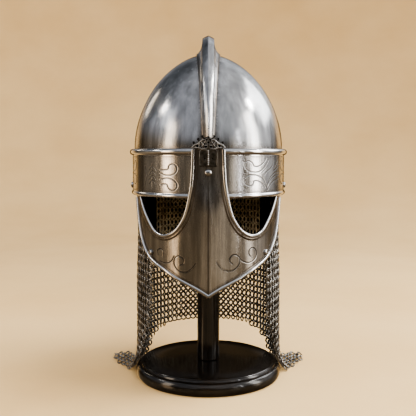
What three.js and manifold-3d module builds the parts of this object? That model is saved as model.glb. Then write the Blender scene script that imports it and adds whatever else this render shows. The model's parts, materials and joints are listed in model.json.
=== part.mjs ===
// Masked steel helmet with a comb, a face mask and a mail curtain, on a turned display stand.
// Millimetres, +Z up. The helmet faces -Y, and the stand's foot rests on z = 0 round the origin.
import * as THREE from 'three';
import { mergeVertices } from 'three/addons/utils/BufferGeometryUtils.js';
import Module from 'manifold-3d';

const wasm = await Module();
wasm.setup();

// Driving dimensions
const GAP = 0.3;
const PLATE = 2;
const WELD = 1e-4;

const BOWL = {
  halfWidth: 102.6, halfDepth: 119.7, wall: 1.9, rimZ: 300, springZ: 320, rise: 131,
  outPower: 1.12, upPower: 1.053, segments: 36, rings: 9,
};

const HOOP = { halfWidth: 102.9, halfDepth: 120 };
const BAND = {
  thickness: 2.4, segments: 44,
  low: { z: 261.5, out: 1.3, radius: 2.8, steps: 4 },
  high: { z: 316.5, out: 2.4, radius: 4, steps: 6 },
};

const MASK = {
  offsetFront: 9.5, offsetSide: -0.9, blendFrom: 14, blendTo: 60,
  creaseDepth: 5, creaseHalfWidth: 30, creasePower: 1.5, creaseTopZ: 300, creaseFade: 60,
  nasalTopZ: 320, tongueTopZ: 298, rows: 6, rowPower: 0.75,
  eyeRim: 2.5, eyeRimOut: -0.4, lowerRim: 2.4, lowerRimOut: -0.6,
  edgeSteps: 2, rimSides: 6, eyeRimSteps: 17, lowerRimSteps: 14,
};

// Centre line of the rolled rim round an eye opening: bearing from the front in degrees, and height
const EYE_EDGE = [
  { phi: 9.5, z: 319 },
  { phi: 9.9, z: 294 },
  { phi: 11, z: 270 },
  { phi: 14, z: 243.5 },
  { phi: 17.3, z: 229 },
  { phi: 22.7, z: 217 },
  { phi: 30.6, z: 211.5 },
  { phi: 39.4, z: 215.5 },
  { phi: 47.5, z: 227.5 },
  { phi: 55.6, z: 242.5 },
  { phi: 61, z: 257 },
];

// Centre line of the rolled lower rim, from the chin back and up to the brow band
const LOWER_EDGE = [
  { phi: 0, z: 139.8 },
  { phi: 7, z: 147.8 },
  { phi: 18, z: 157.6 },
  { phi: 30, z: 168.4 },
  { phi: 42, z: 177 },
  { phi: 49, z: 183.4 },
  { phi: 54.5, z: 191.5 },
  { phi: 60.3, z: 204.5 },
  { phi: 64.7, z: 222 },
  { phi: 68, z: 240 },
  { phi: 70.5, z: 255.5 },
];
const TONGUE_PHI = [63, 70.5, 74, 88];
const TONGUE_LOW_Z = 264;
const NASAL_PHI = [0, 3.2, 6.4];

// Comb: the fraction of the way from its foot to the top of the bowl, and the section's sizes there
const COMB_SECTIONS = [
  { along: 0, halfFoot: 8, halfCap: 4.6, height: 8.5 },
  { along: 0.2, halfFoot: 9.4, halfCap: 5.6, height: 12.5 },
  { along: 0.5, halfFoot: 12.6, halfCap: 7.2, height: 18.5 },
  { along: 0.8, halfFoot: 15.4, halfCap: 8, height: 23.5 },
  { along: 1, halfFoot: 16.4, halfCap: 8.2, height: 25.5 },
];
const COMB = {
  footPsi: 3.4, endPsi: 1.6, normalPsi: 4, wall: 1.8, roofDrop: 4, below: 4,
  stations: 7, flankSteps: 3, flankPull: 0.22,
};

const RIVET = { shank: 2, hole: 2.3, sides: 10, headSteps: 3 };
const NASAL_RIVET = { phi: 0, z: 291, radius: 4.5, height: 3, shank: 10.6 };
const CHEEK_RIVET = { phi: 44.6, z: 187.5, radius: 4.2, height: 2.8, shank: 4 };
const TEMPLE_RIVET = { phi: 81, z: 271.5, radius: 4.2, height: 2.7, shank: 6 };

const ORNAMENT = {
  plate: 2.2, strand: 1, strandSides: 4, holeSides: 7, bead: 1.5, beads: 5, beadLowZ: 300.6, beadHighZ: 315,
  strandSteps: 2, spike: 1.3, spikeLength: 4.2, spikeSides: 4, strandLift: 2.1, standOff: 0.95,
};

// Mail: a sheet hung on an oval hoop. Lengths run down the sheet from leadZ.
const MAIL = {
  halfWidth: 96.2, frontDepth: 111, backDepth: 115, thickness: 5, leadZ: 262,
  bendFromZ: 146, bendPower: 7, floorZ: 2.5, leanFromZ: 215, leanHeight: 90, lean: 2.2,
  bendSteps: 400, rows: 8, rowPower: 1.5, sideStep: 4, sideEnd: 130, backStep: 10,
};
const MAIL_TOP = [
  { phi: 50, z: 196 },
  { phi: 56, z: 212 },
  { phi: 61, z: 236 },
  { phi: 65, z: 262 },
  { phi: 70, z: 288 },
  { phi: 180, z: 288 },
];
// Bearing, length of the sheet below leadZ, how much of the floor bend it takes, and its turn backwards
const MAIL_HEM = [
  { phi: 50, length: 138, flare: 0.2, turn: 0 },
  { phi: 58, length: 182, flare: 0.45, turn: 0 },
  { phi: 66, length: 211, flare: 0.7, turn: 4 },
  { phi: 74, length: 232, flare: 0.88, turn: 16 },
  { phi: 82, length: 247, flare: 1, turn: 28 },
  { phi: 88, length: 262, flare: 1, turn: 36 },
  { phi: 93, length: 289, flare: 1, turn: 40 },
  { phi: 98, length: 316, flare: 1, turn: 42 },
  { phi: 103, length: 322, flare: 1, turn: 42 },
  { phi: 108, length: 300, flare: 1, turn: 42 },
  { phi: 113, length: 262, flare: 0.94, turn: 40 },
  { phi: 118, length: 236, flare: 0.78, turn: 34 },
  { phi: 126, length: 220, flare: 0.48, turn: 20 },
  { phi: 140, length: 214, flare: 0.15, turn: 4 },
  { phi: 160, length: 214, flare: 0, turn: 0 },
  { phi: 180, length: 214, flare: 0, turn: 0 },
];

// Turned stand: radius and height of each point of the base's profile, from the floor up
const BASE_PROFILE = [
  { radius: 99.5, z: 0 },
  { radius: 101.6, z: 2.6 },
  { radius: 102.7, z: 7.5 },
  { radius: 102, z: 12.4 },
  { radius: 99.6, z: 16 },
  { radius: 96.4, z: 18 },
  { radius: 95.4, z: 19.6 },
  { radius: 93.6, z: 21.5 },
];
const STAND = { segments: 40, postRadius: 15.5, postSegments: 28, neckZ: 398, headRadius: 42, headZ: 410 };

const STEEL = { color: 0xb9b4aa, metalness: 1, roughness: 0.25 };
const DARK_CAST = { color: 0x3a332c, metalness: 0.9, roughness: 0.5 };
const MAIL_STEEL = { color: 0x6f675c, metalness: 0.9, roughness: 0.45 };
const BLACK_LACQUER = { color: 0x14110e, metalness: 0, roughness: 0.12 };

const helmet = new THREE.Group();

function addPart(name, geometry, look) {
  const mesh = new THREE.Mesh(geometry, new THREE.MeshStandardMaterial(look));
  mesh.name = name;
  helmet.add(mesh);
}

// Small number helpers

function smooth(from, to, value) {
  const t = THREE.MathUtils.clamp((value - from) / (to - from), 0, 1);
  return t * t * (3 - 2 * t);
}

function tableValue(table, key, value, column) {
  let row = 0;
  while (row < table.length - 2 && value > table[row + 1][key]) row += 1;
  const low = table[row];
  const high = table[row + 1];
  const t = THREE.MathUtils.clamp((value - low[key]) / (high[key] - low[key]), 0, 1);
  return THREE.MathUtils.lerp(low[column], high[column], t);
}

function curveValue(table, key, value, column) {
  // A smooth curve through the table's rows.
  let row = 0;
  while (row < table.length - 2 && value > table[row + 1][key]) row += 1;
  const slope = (i) => {
    const before = table[Math.max(i - 1, 0)];
    const after = table[Math.min(i + 1, table.length - 1)];
    return (after[column] - before[column]) / (after[key] - before[key]);
  };
  const low = table[row];
  const high = table[row + 1];
  const span = high[key] - low[key];
  const t = THREE.MathUtils.clamp((value - low[key]) / span, 0, 1);
  const rise = t * t * (3 - 2 * t);
  return low[column] * (1 - rise) + high[column] * rise
    + span * (slope(row) * t * (1 - t) ** 2 - slope(row + 1) * t * t * (1 - t));
}

function edgeCurve(table) {
  return new THREE.SplineCurve(table.map((row) => new THREE.Vector2(row.phi, row.z)));
}

function radians(degrees) {
  return THREE.MathUtils.degToRad(degrees);
}

// Closed meshes and booleans

function welded(geometry) {
  const bare = geometry.clone();
  bare.deleteAttribute('normal');
  bare.deleteAttribute('uv');
  return mergeVertices(bare, WELD);
}

function toSolid(geometry) {
  const mesh = welded(geometry);
  return new wasm.Manifold(new wasm.Mesh({
    numProp: 3,
    vertProperties: new Float32Array(mesh.attributes.position.array),
    triVerts: new Uint32Array(mesh.index.array),
  }));
}

function toGeometry(solid) {
  const mesh = solid.getMesh();
  const geometry = new THREE.BufferGeometry();
  geometry.setAttribute('position', new THREE.BufferAttribute(new Float32Array(mesh.vertProperties), 3));
  geometry.setIndex(new THREE.BufferAttribute(new Uint32Array(mesh.triVerts), 1));
  return geometry;
}

function union(geometries) {
  return geometries.map(toSolid).reduce((sum, solid) => sum.add(solid));
}

function fromGrid(outer, inner) {
  // A wall between two grids of points of the same size, closed along its four edges.
  const columns = outer.length;
  const rows = outer[0].length;
  const index = [];
  const at = (side, i, j) => side * columns * rows + i * rows + j;
  const points = [...outer.flat(), ...inner.flat()];
  const quad = (a, b, c, d) => {
    const isShort = points[a].distanceTo(points[c]) <= points[b].distanceTo(points[d]);
    if (isShort) index.push(a, b, c, a, c, d);
    else index.push(b, c, d, b, d, a);
  };
  for (let i = 0; i < columns - 1; i += 1) {
    for (let j = 0; j < rows - 1; j += 1) {
      quad(at(0, i, j), at(0, i + 1, j), at(0, i + 1, j + 1), at(0, i, j + 1));
      quad(at(1, i, j), at(1, i, j + 1), at(1, i + 1, j + 1), at(1, i + 1, j));
    }
    quad(at(0, i + 1, 0), at(0, i, 0), at(1, i, 0), at(1, i + 1, 0));
    quad(at(0, i, rows - 1), at(0, i + 1, rows - 1), at(1, i + 1, rows - 1), at(1, i, rows - 1));
  }
  for (let j = 0; j < rows - 1; j += 1) {
    quad(at(0, 0, j), at(0, 0, j + 1), at(1, 0, j + 1), at(1, 0, j));
    quad(at(0, columns - 1, j + 1), at(0, columns - 1, j), at(1, columns - 1, j), at(1, columns - 1, j + 1));
  }
  const geometry = new THREE.BufferGeometry();
  const positions = points.flatMap((point) => point.toArray());
  geometry.setAttribute('position', new THREE.Float32BufferAttribute(positions, 3));
  geometry.setIndex(index);
  return geometry;
}

function mapPoints(geometry, move) {
  const place = geometry.attributes.position;
  const point = new THREE.Vector3();
  for (let i = 0; i < place.count; i += 1) {
    point.fromBufferAttribute(place, i);
    move(point);
    place.setXYZ(i, point.x, point.y, point.z);
  }
  return geometry;
}

function lathe(profile, segments) {
  const points = profile.map((row) => new THREE.Vector2(row.radius, row.z));
  return new THREE.LatheGeometry(points, segments).rotateX(Math.PI / 2);
}

function tube(points, radius, sides, steps) {
  const section = new THREE.Shape();
  for (let i = 0; i < sides; i += 1) {
    const turn = (i / sides) * 2 * Math.PI;
    const x = radius * Math.cos(turn);
    const y = radius * Math.sin(turn);
    if (i === 0) section.moveTo(x, y);
    else section.lineTo(x, y);
  }
  section.closePath();
  const path = new THREE.CatmullRomCurve3(points, false, 'centripetal');
  return new THREE.ExtrudeGeometry(section, { extrudePath: path, steps, bevelEnabled: false });
}

// Bowl

function bowlProfile(psi, inset) {
  const width = BOWL.halfWidth - inset;
  const rise = BOWL.rise - inset;
  return {
    radius: width * Math.max(Math.cos(psi), 0) ** BOWL.outPower,
    z: BOWL.springZ + rise * Math.sin(psi) ** BOWL.upPower,
  };
}

function bowlArc(inset, rings) {
  const arc = [];
  for (let i = 0; i < rings; i += 1) {
    arc.push(bowlProfile((i / rings) * (Math.PI / 2), inset));
  }
  arc.push({ radius: 0, z: BOWL.springZ + BOWL.rise - inset });
  return arc;
}

function toOval(geometry) {
  return geometry.scale(1, BOWL.halfDepth / BOWL.halfWidth, 1);
}

function bowlSolid(inset, baseZ) {
  const rim = { radius: BOWL.halfWidth - inset, z: baseZ };
  return toOval(lathe([{ radius: 0, z: baseZ }, rim, ...bowlArc(inset, BOWL.rings)], BOWL.segments));
}

function makeSkull() {
  const outside = bowlArc(0, BOWL.rings);
  const inside = bowlArc(BOWL.wall, BOWL.rings);
  const rimOut = { radius: BOWL.halfWidth, z: BOWL.rimZ };
  const rimIn = { radius: BOWL.halfWidth - BOWL.wall, z: BOWL.rimZ };
  return toOval(lathe([...inside.reverse(), rimIn, rimOut, ...outside], BOWL.segments));
}

// Comb: a hollow channel whose section changes along the bowl's fore-and-aft line

function combLine(angle) {
  const side = Math.cos(angle) >= 0 ? -1 : 1;
  const place = bowlProfile(Math.asin(Math.min(Math.sin(angle), 1)), 0);
  const depth = place.radius * (BOWL.halfDepth / BOWL.halfWidth);
  return new THREE.Vector3(0, side * depth, place.z);
}

function combNormal(angle) {
  const step = radians(COMB.normalPsi);
  const ahead = combLine(Math.min(angle + step, Math.PI));
  const behind = combLine(Math.max(angle - step, 0));
  const along = ahead.sub(behind).normalize();
  return new THREE.Vector3(0, -along.z, along.y);
}

function combSection(along, wall) {
  const halfFoot = tableValue(COMB_SECTIONS, 'along', along, 'halfFoot') - wall;
  const halfCap = tableValue(COMB_SECTIONS, 'along', along, 'halfCap') - wall;
  const height = tableValue(COMB_SECTIONS, 'along', along, 'height') - wall;
  const shoulder = height - COMB.roofDrop;
  const flank = new THREE.QuadraticBezierCurve(
    new THREE.Vector2(halfFoot, 0),
    new THREE.Vector2(halfCap, shoulder * COMB.flankPull),
    new THREE.Vector2(halfCap, shoulder),
  );
  const right = [new THREE.Vector2(halfFoot, -COMB.below), ...flank.getPoints(COMB.flankSteps)];
  const left = right.map((point) => new THREE.Vector2(-point.x, point.y)).reverse();
  return [...right, new THREE.Vector2(0, height), ...left];
}

function combSolid(wall, footPsi) {
  const from = radians(footPsi);
  const rings = [];
  const count = COMB.stations * 2;
  for (let i = 0; i <= count; i += 1) {
    const angle = THREE.MathUtils.lerp(from, Math.PI - from, i / count);
    const along = 1 - Math.abs(1 - (2 * i) / count);
    const foot = combLine(angle);
    const normal = combNormal(angle);
    rings.push(combSection(along, wall).map((point) => (
      foot.clone().addScaledVector(normal, point.y).setX(point.x)
    )));
  }
  return ringLoft(rings, combSection(0, wall));
}

function ringLoft(rings, section) {
  // Closed rings of equal size joined in order, with a flat end cut to the section's outline.
  const size = section.length;
  const positions = rings.flat().flatMap((point) => point.toArray());
  const index = [];
  for (let i = 0; i < rings.length - 1; i += 1) {
    for (let j = 0; j < size; j += 1) {
      const a = i * size + j;
      const b = i * size + ((j + 1) % size);
      index.push(a, b + size, b, a, a + size, b + size);
    }
  }
  const last = (rings.length - 1) * size;
  THREE.ShapeUtils.triangulateShape(section, []).forEach(([a, b, c]) => {
    index.push(a, b, c);
    index.push(last + a, last + c, last + b);
  });
  const geometry = new THREE.BufferGeometry();
  geometry.setAttribute('position', new THREE.Float32BufferAttribute(positions, 3));
  geometry.setIndex(index);
  return geometry;
}

function makeComb() {
  const outside = toSolid(combSolid(0, COMB.footPsi));
  const inside = toSolid(combSolid(COMB.wall, COMB.footPsi + COMB.endPsi));
  return toGeometry(outside.subtract(inside).subtract(toSolid(bowlSolid(-GAP, BOWL.rimZ))));
}

// Brow band: one profile round the hoop, a flat band between two rolled edges

function rollArc(roll, fromX, toX) {
  const start = -Math.acos((fromX - roll.out) / roll.radius);
  const end = Math.acos((toX - roll.out) / roll.radius);
  const points = [];
  for (let i = 0; i <= roll.steps; i += 1) {
    const turn = THREE.MathUtils.lerp(start, end, i / roll.steps);
    points.push({
      radius: HOOP.halfWidth + roll.out + roll.radius * Math.cos(turn),
      z: roll.z + roll.radius * Math.sin(turn),
    });
  }
  return points;
}

function makeBandGeometry() {
  const low = rollArc(BAND.low, 0, BAND.thickness);
  const high = rollArc(BAND.high, BAND.thickness, 0);
  const profile = [...low, ...high, low[0]];
  const spare = HOOP.halfDepth - HOOP.halfWidth;
  return mapPoints(lathe(profile, BAND.segments), (point) => {
    const reach = Math.hypot(point.x, point.y);
    point.y *= (reach + spare) / reach;
  });
}

// Face mask

function maskPoint(phi, z, out) {
  const bearing = radians(phi);
  const blend = smooth(MASK.blendFrom, MASK.blendTo, Math.abs(phi));
  const offset = THREE.MathUtils.lerp(MASK.offsetFront, MASK.offsetSide, blend) + out;
  const x = (HOOP.halfWidth + offset) * Math.sin(bearing);
  const near = Math.max(1 - Math.abs(x) / MASK.creaseHalfWidth, 0) ** MASK.creasePower;
  const crease = MASK.creaseDepth * near * smooth(0, 1, (MASK.creaseTopZ - z) / MASK.creaseFade);
  return new THREE.Vector3(x, -(HOOP.halfDepth + offset) * Math.cos(bearing) - crease, z);
}

function maskNormal(phi, z) {
  const step = 1;
  const across = maskPoint(phi + step, z, 0).sub(maskPoint(phi - step, z, 0));
  const up = maskPoint(phi, z + step, 0).sub(maskPoint(phi, z - step, 0));
  return across.cross(up).normalize();
}

function lowerEdgeZ(samples, phi) {
  if (phi > LOWER_EDGE.at(-1).phi) return TONGUE_LOW_Z;
  return tableValue(samples, 'phi', phi, 'z');
}

function maskColumns() {
  const eyeCount = (EYE_EDGE.length - 1) * MASK.edgeSteps;
  const eye = edgeCurve(EYE_EDGE).getPoints(eyeCount);
  const lower = edgeCurve(LOWER_EDGE).getPoints((LOWER_EDGE.length - 1) * MASK.edgeSteps);
  const lowerSamples = lower.map((point) => ({ phi: point.x, z: point.y }));
  const columns = [];
  NASAL_PHI.forEach((phi) => columns.push({ phi, top: MASK.nasalTopZ }));
  eye.forEach((point) => columns.push({ phi: point.x, top: point.y }));
  TONGUE_PHI.forEach((phi) => columns.push({ phi, top: MASK.tongueTopZ }));
  return columns.map((column) => ({ ...column, low: lowerEdgeZ(lowerSamples, column.phi) }));
}

function maskPlate() {
  const half = maskColumns();
  const mirrored = half.slice(1).map((column) => ({ ...column, phi: -column.phi })).reverse();
  const all = [...mirrored, ...half];
  const grid = (out) => all.map((column) => {
    const points = [];
    for (let j = 0; j <= MASK.rows; j += 1) {
      const z = THREE.MathUtils.lerp(column.low, column.top, (j / MASK.rows) ** MASK.rowPower);
      points.push(maskPoint(column.phi, z, out));
    }
    return points;
  });
  return fromGrid(grid(0), grid(-PLATE));
}

function eyeRim(side) {
  const points = edgeCurve(EYE_EDGE).getPoints((EYE_EDGE.length - 1) * MASK.edgeSteps)
    .map((point) => maskPoint(side * point.x, point.y, MASK.eyeRimOut));
  return tube(points, MASK.eyeRim, MASK.rimSides, MASK.eyeRimSteps);
}

function lowerRim(side) {
  const points = edgeCurve(LOWER_EDGE).getPoints((LOWER_EDGE.length - 1) * MASK.edgeSteps)
    .map((point) => maskPoint(side * point.x, point.y, MASK.lowerRimOut));
  return tube(points, MASK.lowerRim, MASK.rimSides, MASK.lowerRimSteps);
}

// Rivets: a domed head on a shank through the plates

function rivetFrame(rivet, out) {
  const seat = maskPoint(rivet.phi, rivet.z, out);
  const normal = maskNormal(rivet.phi, rivet.z);
  const turn = new THREE.Quaternion().setFromUnitVectors(new THREE.Vector3(0, 0, 1), normal);
  return new THREE.Matrix4().compose(seat, turn, new THREE.Vector3(1, 1, 1));
}

function templeOut() {
  return BAND.thickness - MASK.offsetSide;
}

function makeRivet(rivet, out) {
  const profile = [
    { radius: 0, z: -rivet.shank },
    { radius: RIVET.shank, z: -rivet.shank },
    { radius: RIVET.shank, z: GAP },
  ];
  for (let i = 0; i < RIVET.headSteps; i += 1) {
    const turn = (i / RIVET.headSteps) * (Math.PI / 2);
    profile.push({ radius: rivet.radius * Math.cos(turn), z: GAP + rivet.height * Math.sin(turn) });
  }
  profile.push({ radius: 0, z: GAP + rivet.height });
  return lathe(profile, RIVET.sides).applyMatrix4(rivetFrame(rivet, out));
}

function rivetHole(rivet, out) {
  const profile = [
    { radius: 0, z: -rivet.shank * 2 },
    { radius: RIVET.hole, z: -rivet.shank * 2 },
    { radius: RIVET.hole, z: rivet.height * 2 },
    { radius: 0, z: rivet.height * 2 },
  ];
  return toSolid(lathe(profile, RIVET.sides).applyMatrix4(rivetFrame(rivet, out)));
}

const mirrorPhi = (rivet) => ({ ...rivet, phi: -rivet.phi });
const nasalHole = rivetHole(NASAL_RIVET, 0);
const cheekHoles = [CHEEK_RIVET, mirrorPhi(CHEEK_RIVET)].map((rivet) => rivetHole(rivet, 0));
const templeHoles = [TEMPLE_RIVET, mirrorPhi(TEMPLE_RIVET)].map((rivet) => rivetHole(rivet, templeOut()));

function drilled(solid, holes) {
  return toGeometry(holes.reduce((rest, hole) => rest.subtract(hole), solid));
}

// Cast ornament over the nasal: a pierced gable and a small plate, with raised strands

function onNasal(point) {
  // Local x and z stay, and local -y is how far the point stands out from the mask's face.
  const width = HOOP.halfWidth + MASK.offsetFront;
  const depth = HOOP.halfDepth + MASK.offsetFront + ORNAMENT.standOff - point.y;
  point.y = -depth * Math.sqrt(1 - (point.x / width) ** 2);
}

const ORNAMENT_OUTLINE = [
  { x: 9, z: 298 },
  { x: 10.6, z: 299.6 },
  { x: 10.6, z: 316 },
  { x: 13.5, z: 320.6 },
  { x: 20.5, z: 321 },
  { x: 21.5, z: 323.6 },
  { x: 14, z: 328.6 },
  { x: 7.5, z: 331.8 },
  { x: 0, z: 335 },
];
const ORNAMENT_HOLES = [
  { x: 16.4, z: 323.8, radius: 1.3 },
  { x: 11.6, z: 325.8, radius: 1.5 },
  { x: 6.2, z: 328, radius: 1.5 },
  { x: 7.6, z: 321.6, radius: 1.5 },
  { x: 5.6, z: 312.4, radius: 1.3 },
  { x: 5.6, z: 304, radius: 1.3 },
];
const ORNAMENT_STRANDS = [
  [{ x: -20, z: 322.4 }, { x: -11.5, z: 323.2 }, { x: -4, z: 329.8 }, { x: 3, z: 325 }, { x: 2, z: 319 }],
  [{ x: -20, z: 323 }, { x: -13, z: 328 }, { x: -6, z: 325 }, { x: -1.5, z: 320.4 }, { x: -9.4, z: 317 }],
  [{ x: -9.6, z: 299.4 }, { x: -9.6, z: 307 }, { x: -9.6, z: 316 }],
];
const ORNAMENT_SPIKES = [
  { x: 17.4, z: 326, lean: 0.75 },
  { x: 11, z: 329.8, lean: 0.5 },
];

function makeOrnament() {
  const right = ORNAMENT_OUTLINE.map((row) => new THREE.Vector2(row.x, row.z));
  const left = right.slice(0, -1).map((point) => new THREE.Vector2(-point.x, point.y)).reverse();
  const shape = new THREE.Shape([...right, ...left]);
  for (const side of [-1, 1]) {
    for (const hole of ORNAMENT_HOLES) {
      const round = [];
      for (let i = 0; i < ORNAMENT.holeSides; i += 1) {
        const turn = (i / ORNAMENT.holeSides) * 2 * Math.PI;
        round.push(new THREE.Vector2(
          side * hole.x + hole.radius * Math.cos(turn),
          hole.z + hole.radius * Math.sin(turn),
        ));
      }
      shape.holes.push(new THREE.Path(round));
    }
  }
  const plate = new THREE.ExtrudeGeometry(shape, { depth: ORNAMENT.plate, bevelEnabled: false });
  plate.rotateX(Math.PI / 2);
  const pieces = [plate];
  for (const side of [-1, 1]) {
    ORNAMENT_STRANDS.forEach((strand) => {
      const points = strand.map((row) => new THREE.Vector3(side * row.x, -ORNAMENT.strandLift, row.z));
      const steps = (strand.length - 1) * ORNAMENT.strandSteps;
      pieces.push(tube(points, ORNAMENT.strand, ORNAMENT.strandSides, steps));
    });
    ORNAMENT_SPIKES.forEach((spike) => {
      const cone = new THREE.ConeGeometry(ORNAMENT.spike, ORNAMENT.spikeLength, ORNAMENT.spikeSides);
      cone.rotateX(Math.PI / 2).rotateY(side * spike.lean);
      pieces.push(cone.translate(side * spike.x, -ORNAMENT.plate / 2, spike.z));
    });
  }
  for (let i = 0; i < ORNAMENT.beads; i += 1) {
    const z = THREE.MathUtils.lerp(ORNAMENT.beadLowZ, ORNAMENT.beadHighZ, i / (ORNAMENT.beads - 1));
    const bead = new THREE.OctahedronGeometry(ORNAMENT.bead, 1);
    pieces.push(bead.translate(0, -ORNAMENT.plate, z));
  }
  return mapPoints(toGeometry(union(pieces)), onNasal);
}

// Mail curtain

const bendTable = (() => {
  // Across and down travel of a sheet that turns from plumb to level over a unit length.
  const rows = [{ along: 0, across: 0, down: 0 }];
  for (let i = 1; i <= MAIL.bendSteps; i += 1) {
    const turn = (Math.PI / 2) * ((i - 0.5) / MAIL.bendSteps) ** MAIL.bendPower;
    const last = rows[i - 1];
    rows.push({
      along: i / MAIL.bendSteps,
      across: last.across + Math.sin(turn) / MAIL.bendSteps,
      down: last.down + Math.cos(turn) / MAIL.bendSteps,
    });
  }
  return rows;
})();
const bendLength = (MAIL.bendFromZ - MAIL.floorZ) / bendTable.at(-1).down;

function bendAt(along, column) {
  const place = THREE.MathUtils.clamp(along, 0, 1) * MAIL.bendSteps;
  const low = Math.min(Math.floor(place), MAIL.bendSteps - 1);
  return THREE.MathUtils.lerp(bendTable[low][column], bendTable[low + 1][column], place - low);
}

function mailPoint(phi, length) {
  const bearing = radians(phi);
  const flat = Math.abs(phi);
  const halfDepth = flat < 90 ? MAIL.frontDepth : MAIL.backDepth;
  const normal = new THREE.Vector3(
    Math.sin(bearing) / MAIL.halfWidth,
    -Math.cos(bearing) / halfDepth,
    0,
  ).normalize();
  const turn = radians(curveValue(MAIL_HEM, 'phi', flat, 'turn')) * Math.sign(phi);
  const away = normal.clone().applyAxisAngle(new THREE.Vector3(0, 0, 1), turn);
  const flare = curveValue(MAIL_HEM, 'phi', flat, 'flare');
  const plumb = MAIL.leadZ - MAIL.bendFromZ;
  const bent = THREE.MathUtils.clamp((length - plumb) / bendLength, 0, 1);
  const level = Math.max(length - plumb - bendLength, 0);
  const out = flare * bendLength * bendAt(bent, 'across') + level;
  const fall = bendLength * THREE.MathUtils.lerp(bent, bendAt(bent, 'down'), flare);
  const z = MAIL.leadZ - Math.min(length, plumb) - fall;
  const lean = MAIL.lean * smooth(0, 1, (MAIL.leanFromZ - z) / MAIL.leanHeight);
  return new THREE.Vector3(MAIL.halfWidth * Math.sin(bearing), -halfDepth * Math.cos(bearing), z)
    .addScaledVector(normal, lean)
    .addScaledVector(away, out);
}

function mailWallPoint(phi, length, side) {
  const step = 1;
  const down = mailPoint(phi, length + step).sub(mailPoint(phi, length - step));
  const round = mailPoint(phi + step, length).sub(mailPoint(phi - step, length));
  const normal = down.cross(round).normalize();
  const point = mailPoint(phi, length).addScaledVector(normal, (side * MAIL.thickness) / 2);
  point.z = Math.max(point.z, 0);
  return point;
}

function makeMail() {
  const bearings = [];
  for (let phi = MAIL_HEM[0].phi; phi <= MAIL.sideEnd; phi += MAIL.sideStep) bearings.push(phi);
  for (let phi = MAIL.sideEnd + MAIL.backStep; phi <= 180; phi += MAIL.backStep) bearings.push(phi);
  const right = bearings.map((phi) => ({ phi, flat: phi }));
  const left = right.slice(0, -1).map((column) => ({ phi: -column.flat, flat: column.flat })).reverse();
  const columns = [...right, ...left.map((column) => ({ ...column, phi: 360 + column.phi }))];
  const grid = (side) => columns.map((column) => {
    const top = MAIL.leadZ - tableValue(MAIL_TOP, 'phi', column.flat, 'z');
    const end = curveValue(MAIL_HEM, 'phi', column.flat, 'length');
    const phi = column.phi > 180 ? column.phi - 360 : column.phi;
    const points = [];
    for (let j = 0; j <= MAIL.rows; j += 1) {
      const t = (j / MAIL.rows) ** MAIL.rowPower;
      points.push(mailWallPoint(phi, THREE.MathUtils.lerp(end, top, t), side));
    }
    return points;
  });
  return fromGrid(grid(1), grid(-1));
}

// Stand

function makePost() {
  const baseTop = BASE_PROFILE.at(-1).z;
  const head = bowlArc(BOWL.wall + GAP, BOWL.rings).filter((point) => point.radius < STAND.headRadius);
  return lathe([
    { radius: 0, z: baseTop + GAP },
    { radius: STAND.postRadius, z: baseTop + GAP },
    { radius: STAND.postRadius, z: STAND.neckZ },
    { radius: head[0].radius, z: STAND.headZ },
    ...head,
  ], STAND.postSegments);
}

function makeBase() {
  const top = BASE_PROFILE.at(-1).z;
  return lathe([{ radius: 0, z: 0 }, ...BASE_PROFILE, { radius: 0, z: top }], STAND.segments);
}

addPart('skull', makeSkull(), STEEL);
addPart('crest_comb', makeComb(), STEEL);
addPart('brow_band', drilled(toSolid(makeBandGeometry()), [nasalHole, ...templeHoles]), STEEL);
addPart('face_mask', drilled(
  union([maskPlate(), eyeRim(-1), eyeRim(1), lowerRim(-1), lowerRim(1)]),
  [nasalHole, ...cheekHoles, ...templeHoles],
), STEEL);
addPart('nasal_ornament', makeOrnament(), DARK_CAST);
addPart('nasal_rivet', makeRivet(NASAL_RIVET, GAP), STEEL);
addPart('cheek_rivet_right', makeRivet(CHEEK_RIVET, 0), STEEL);
addPart('cheek_rivet_left', makeRivet(mirrorPhi(CHEEK_RIVET), 0), STEEL);
addPart('temple_rivet_right', makeRivet(TEMPLE_RIVET, templeOut()), STEEL);
addPart('temple_rivet_left', makeRivet(mirrorPhi(TEMPLE_RIVET), templeOut()), STEEL);
addPart('mail_curtain', makeMail(), MAIL_STEEL);
addPart('stand_post', makePost(), BLACK_LACQUER);
addPart('stand_base', makeBase(), BLACK_LACQUER);

export default helmet;
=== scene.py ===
import json
from math import acos, ceil, cos, pi, radians, sin, sqrt
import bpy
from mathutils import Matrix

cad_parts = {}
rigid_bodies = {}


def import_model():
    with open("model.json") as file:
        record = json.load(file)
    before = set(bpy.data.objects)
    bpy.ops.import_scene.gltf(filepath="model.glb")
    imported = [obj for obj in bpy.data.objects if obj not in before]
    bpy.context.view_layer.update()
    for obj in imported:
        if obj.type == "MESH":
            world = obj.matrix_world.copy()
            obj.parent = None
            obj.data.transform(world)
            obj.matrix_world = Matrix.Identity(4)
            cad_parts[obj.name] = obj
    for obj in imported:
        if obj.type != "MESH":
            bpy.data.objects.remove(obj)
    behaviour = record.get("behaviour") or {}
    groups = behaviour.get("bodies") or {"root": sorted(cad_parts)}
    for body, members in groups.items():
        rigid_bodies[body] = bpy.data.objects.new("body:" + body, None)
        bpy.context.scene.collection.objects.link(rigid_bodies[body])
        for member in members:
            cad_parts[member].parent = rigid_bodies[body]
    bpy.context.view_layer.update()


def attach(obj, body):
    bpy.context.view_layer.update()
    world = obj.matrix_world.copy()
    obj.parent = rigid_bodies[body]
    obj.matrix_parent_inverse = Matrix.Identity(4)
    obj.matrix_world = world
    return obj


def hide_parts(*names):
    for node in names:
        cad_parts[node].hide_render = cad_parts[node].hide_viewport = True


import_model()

from types import SimpleNamespace as Sizes

import bpy
import numpy as np
from mathutils import Vector

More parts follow.
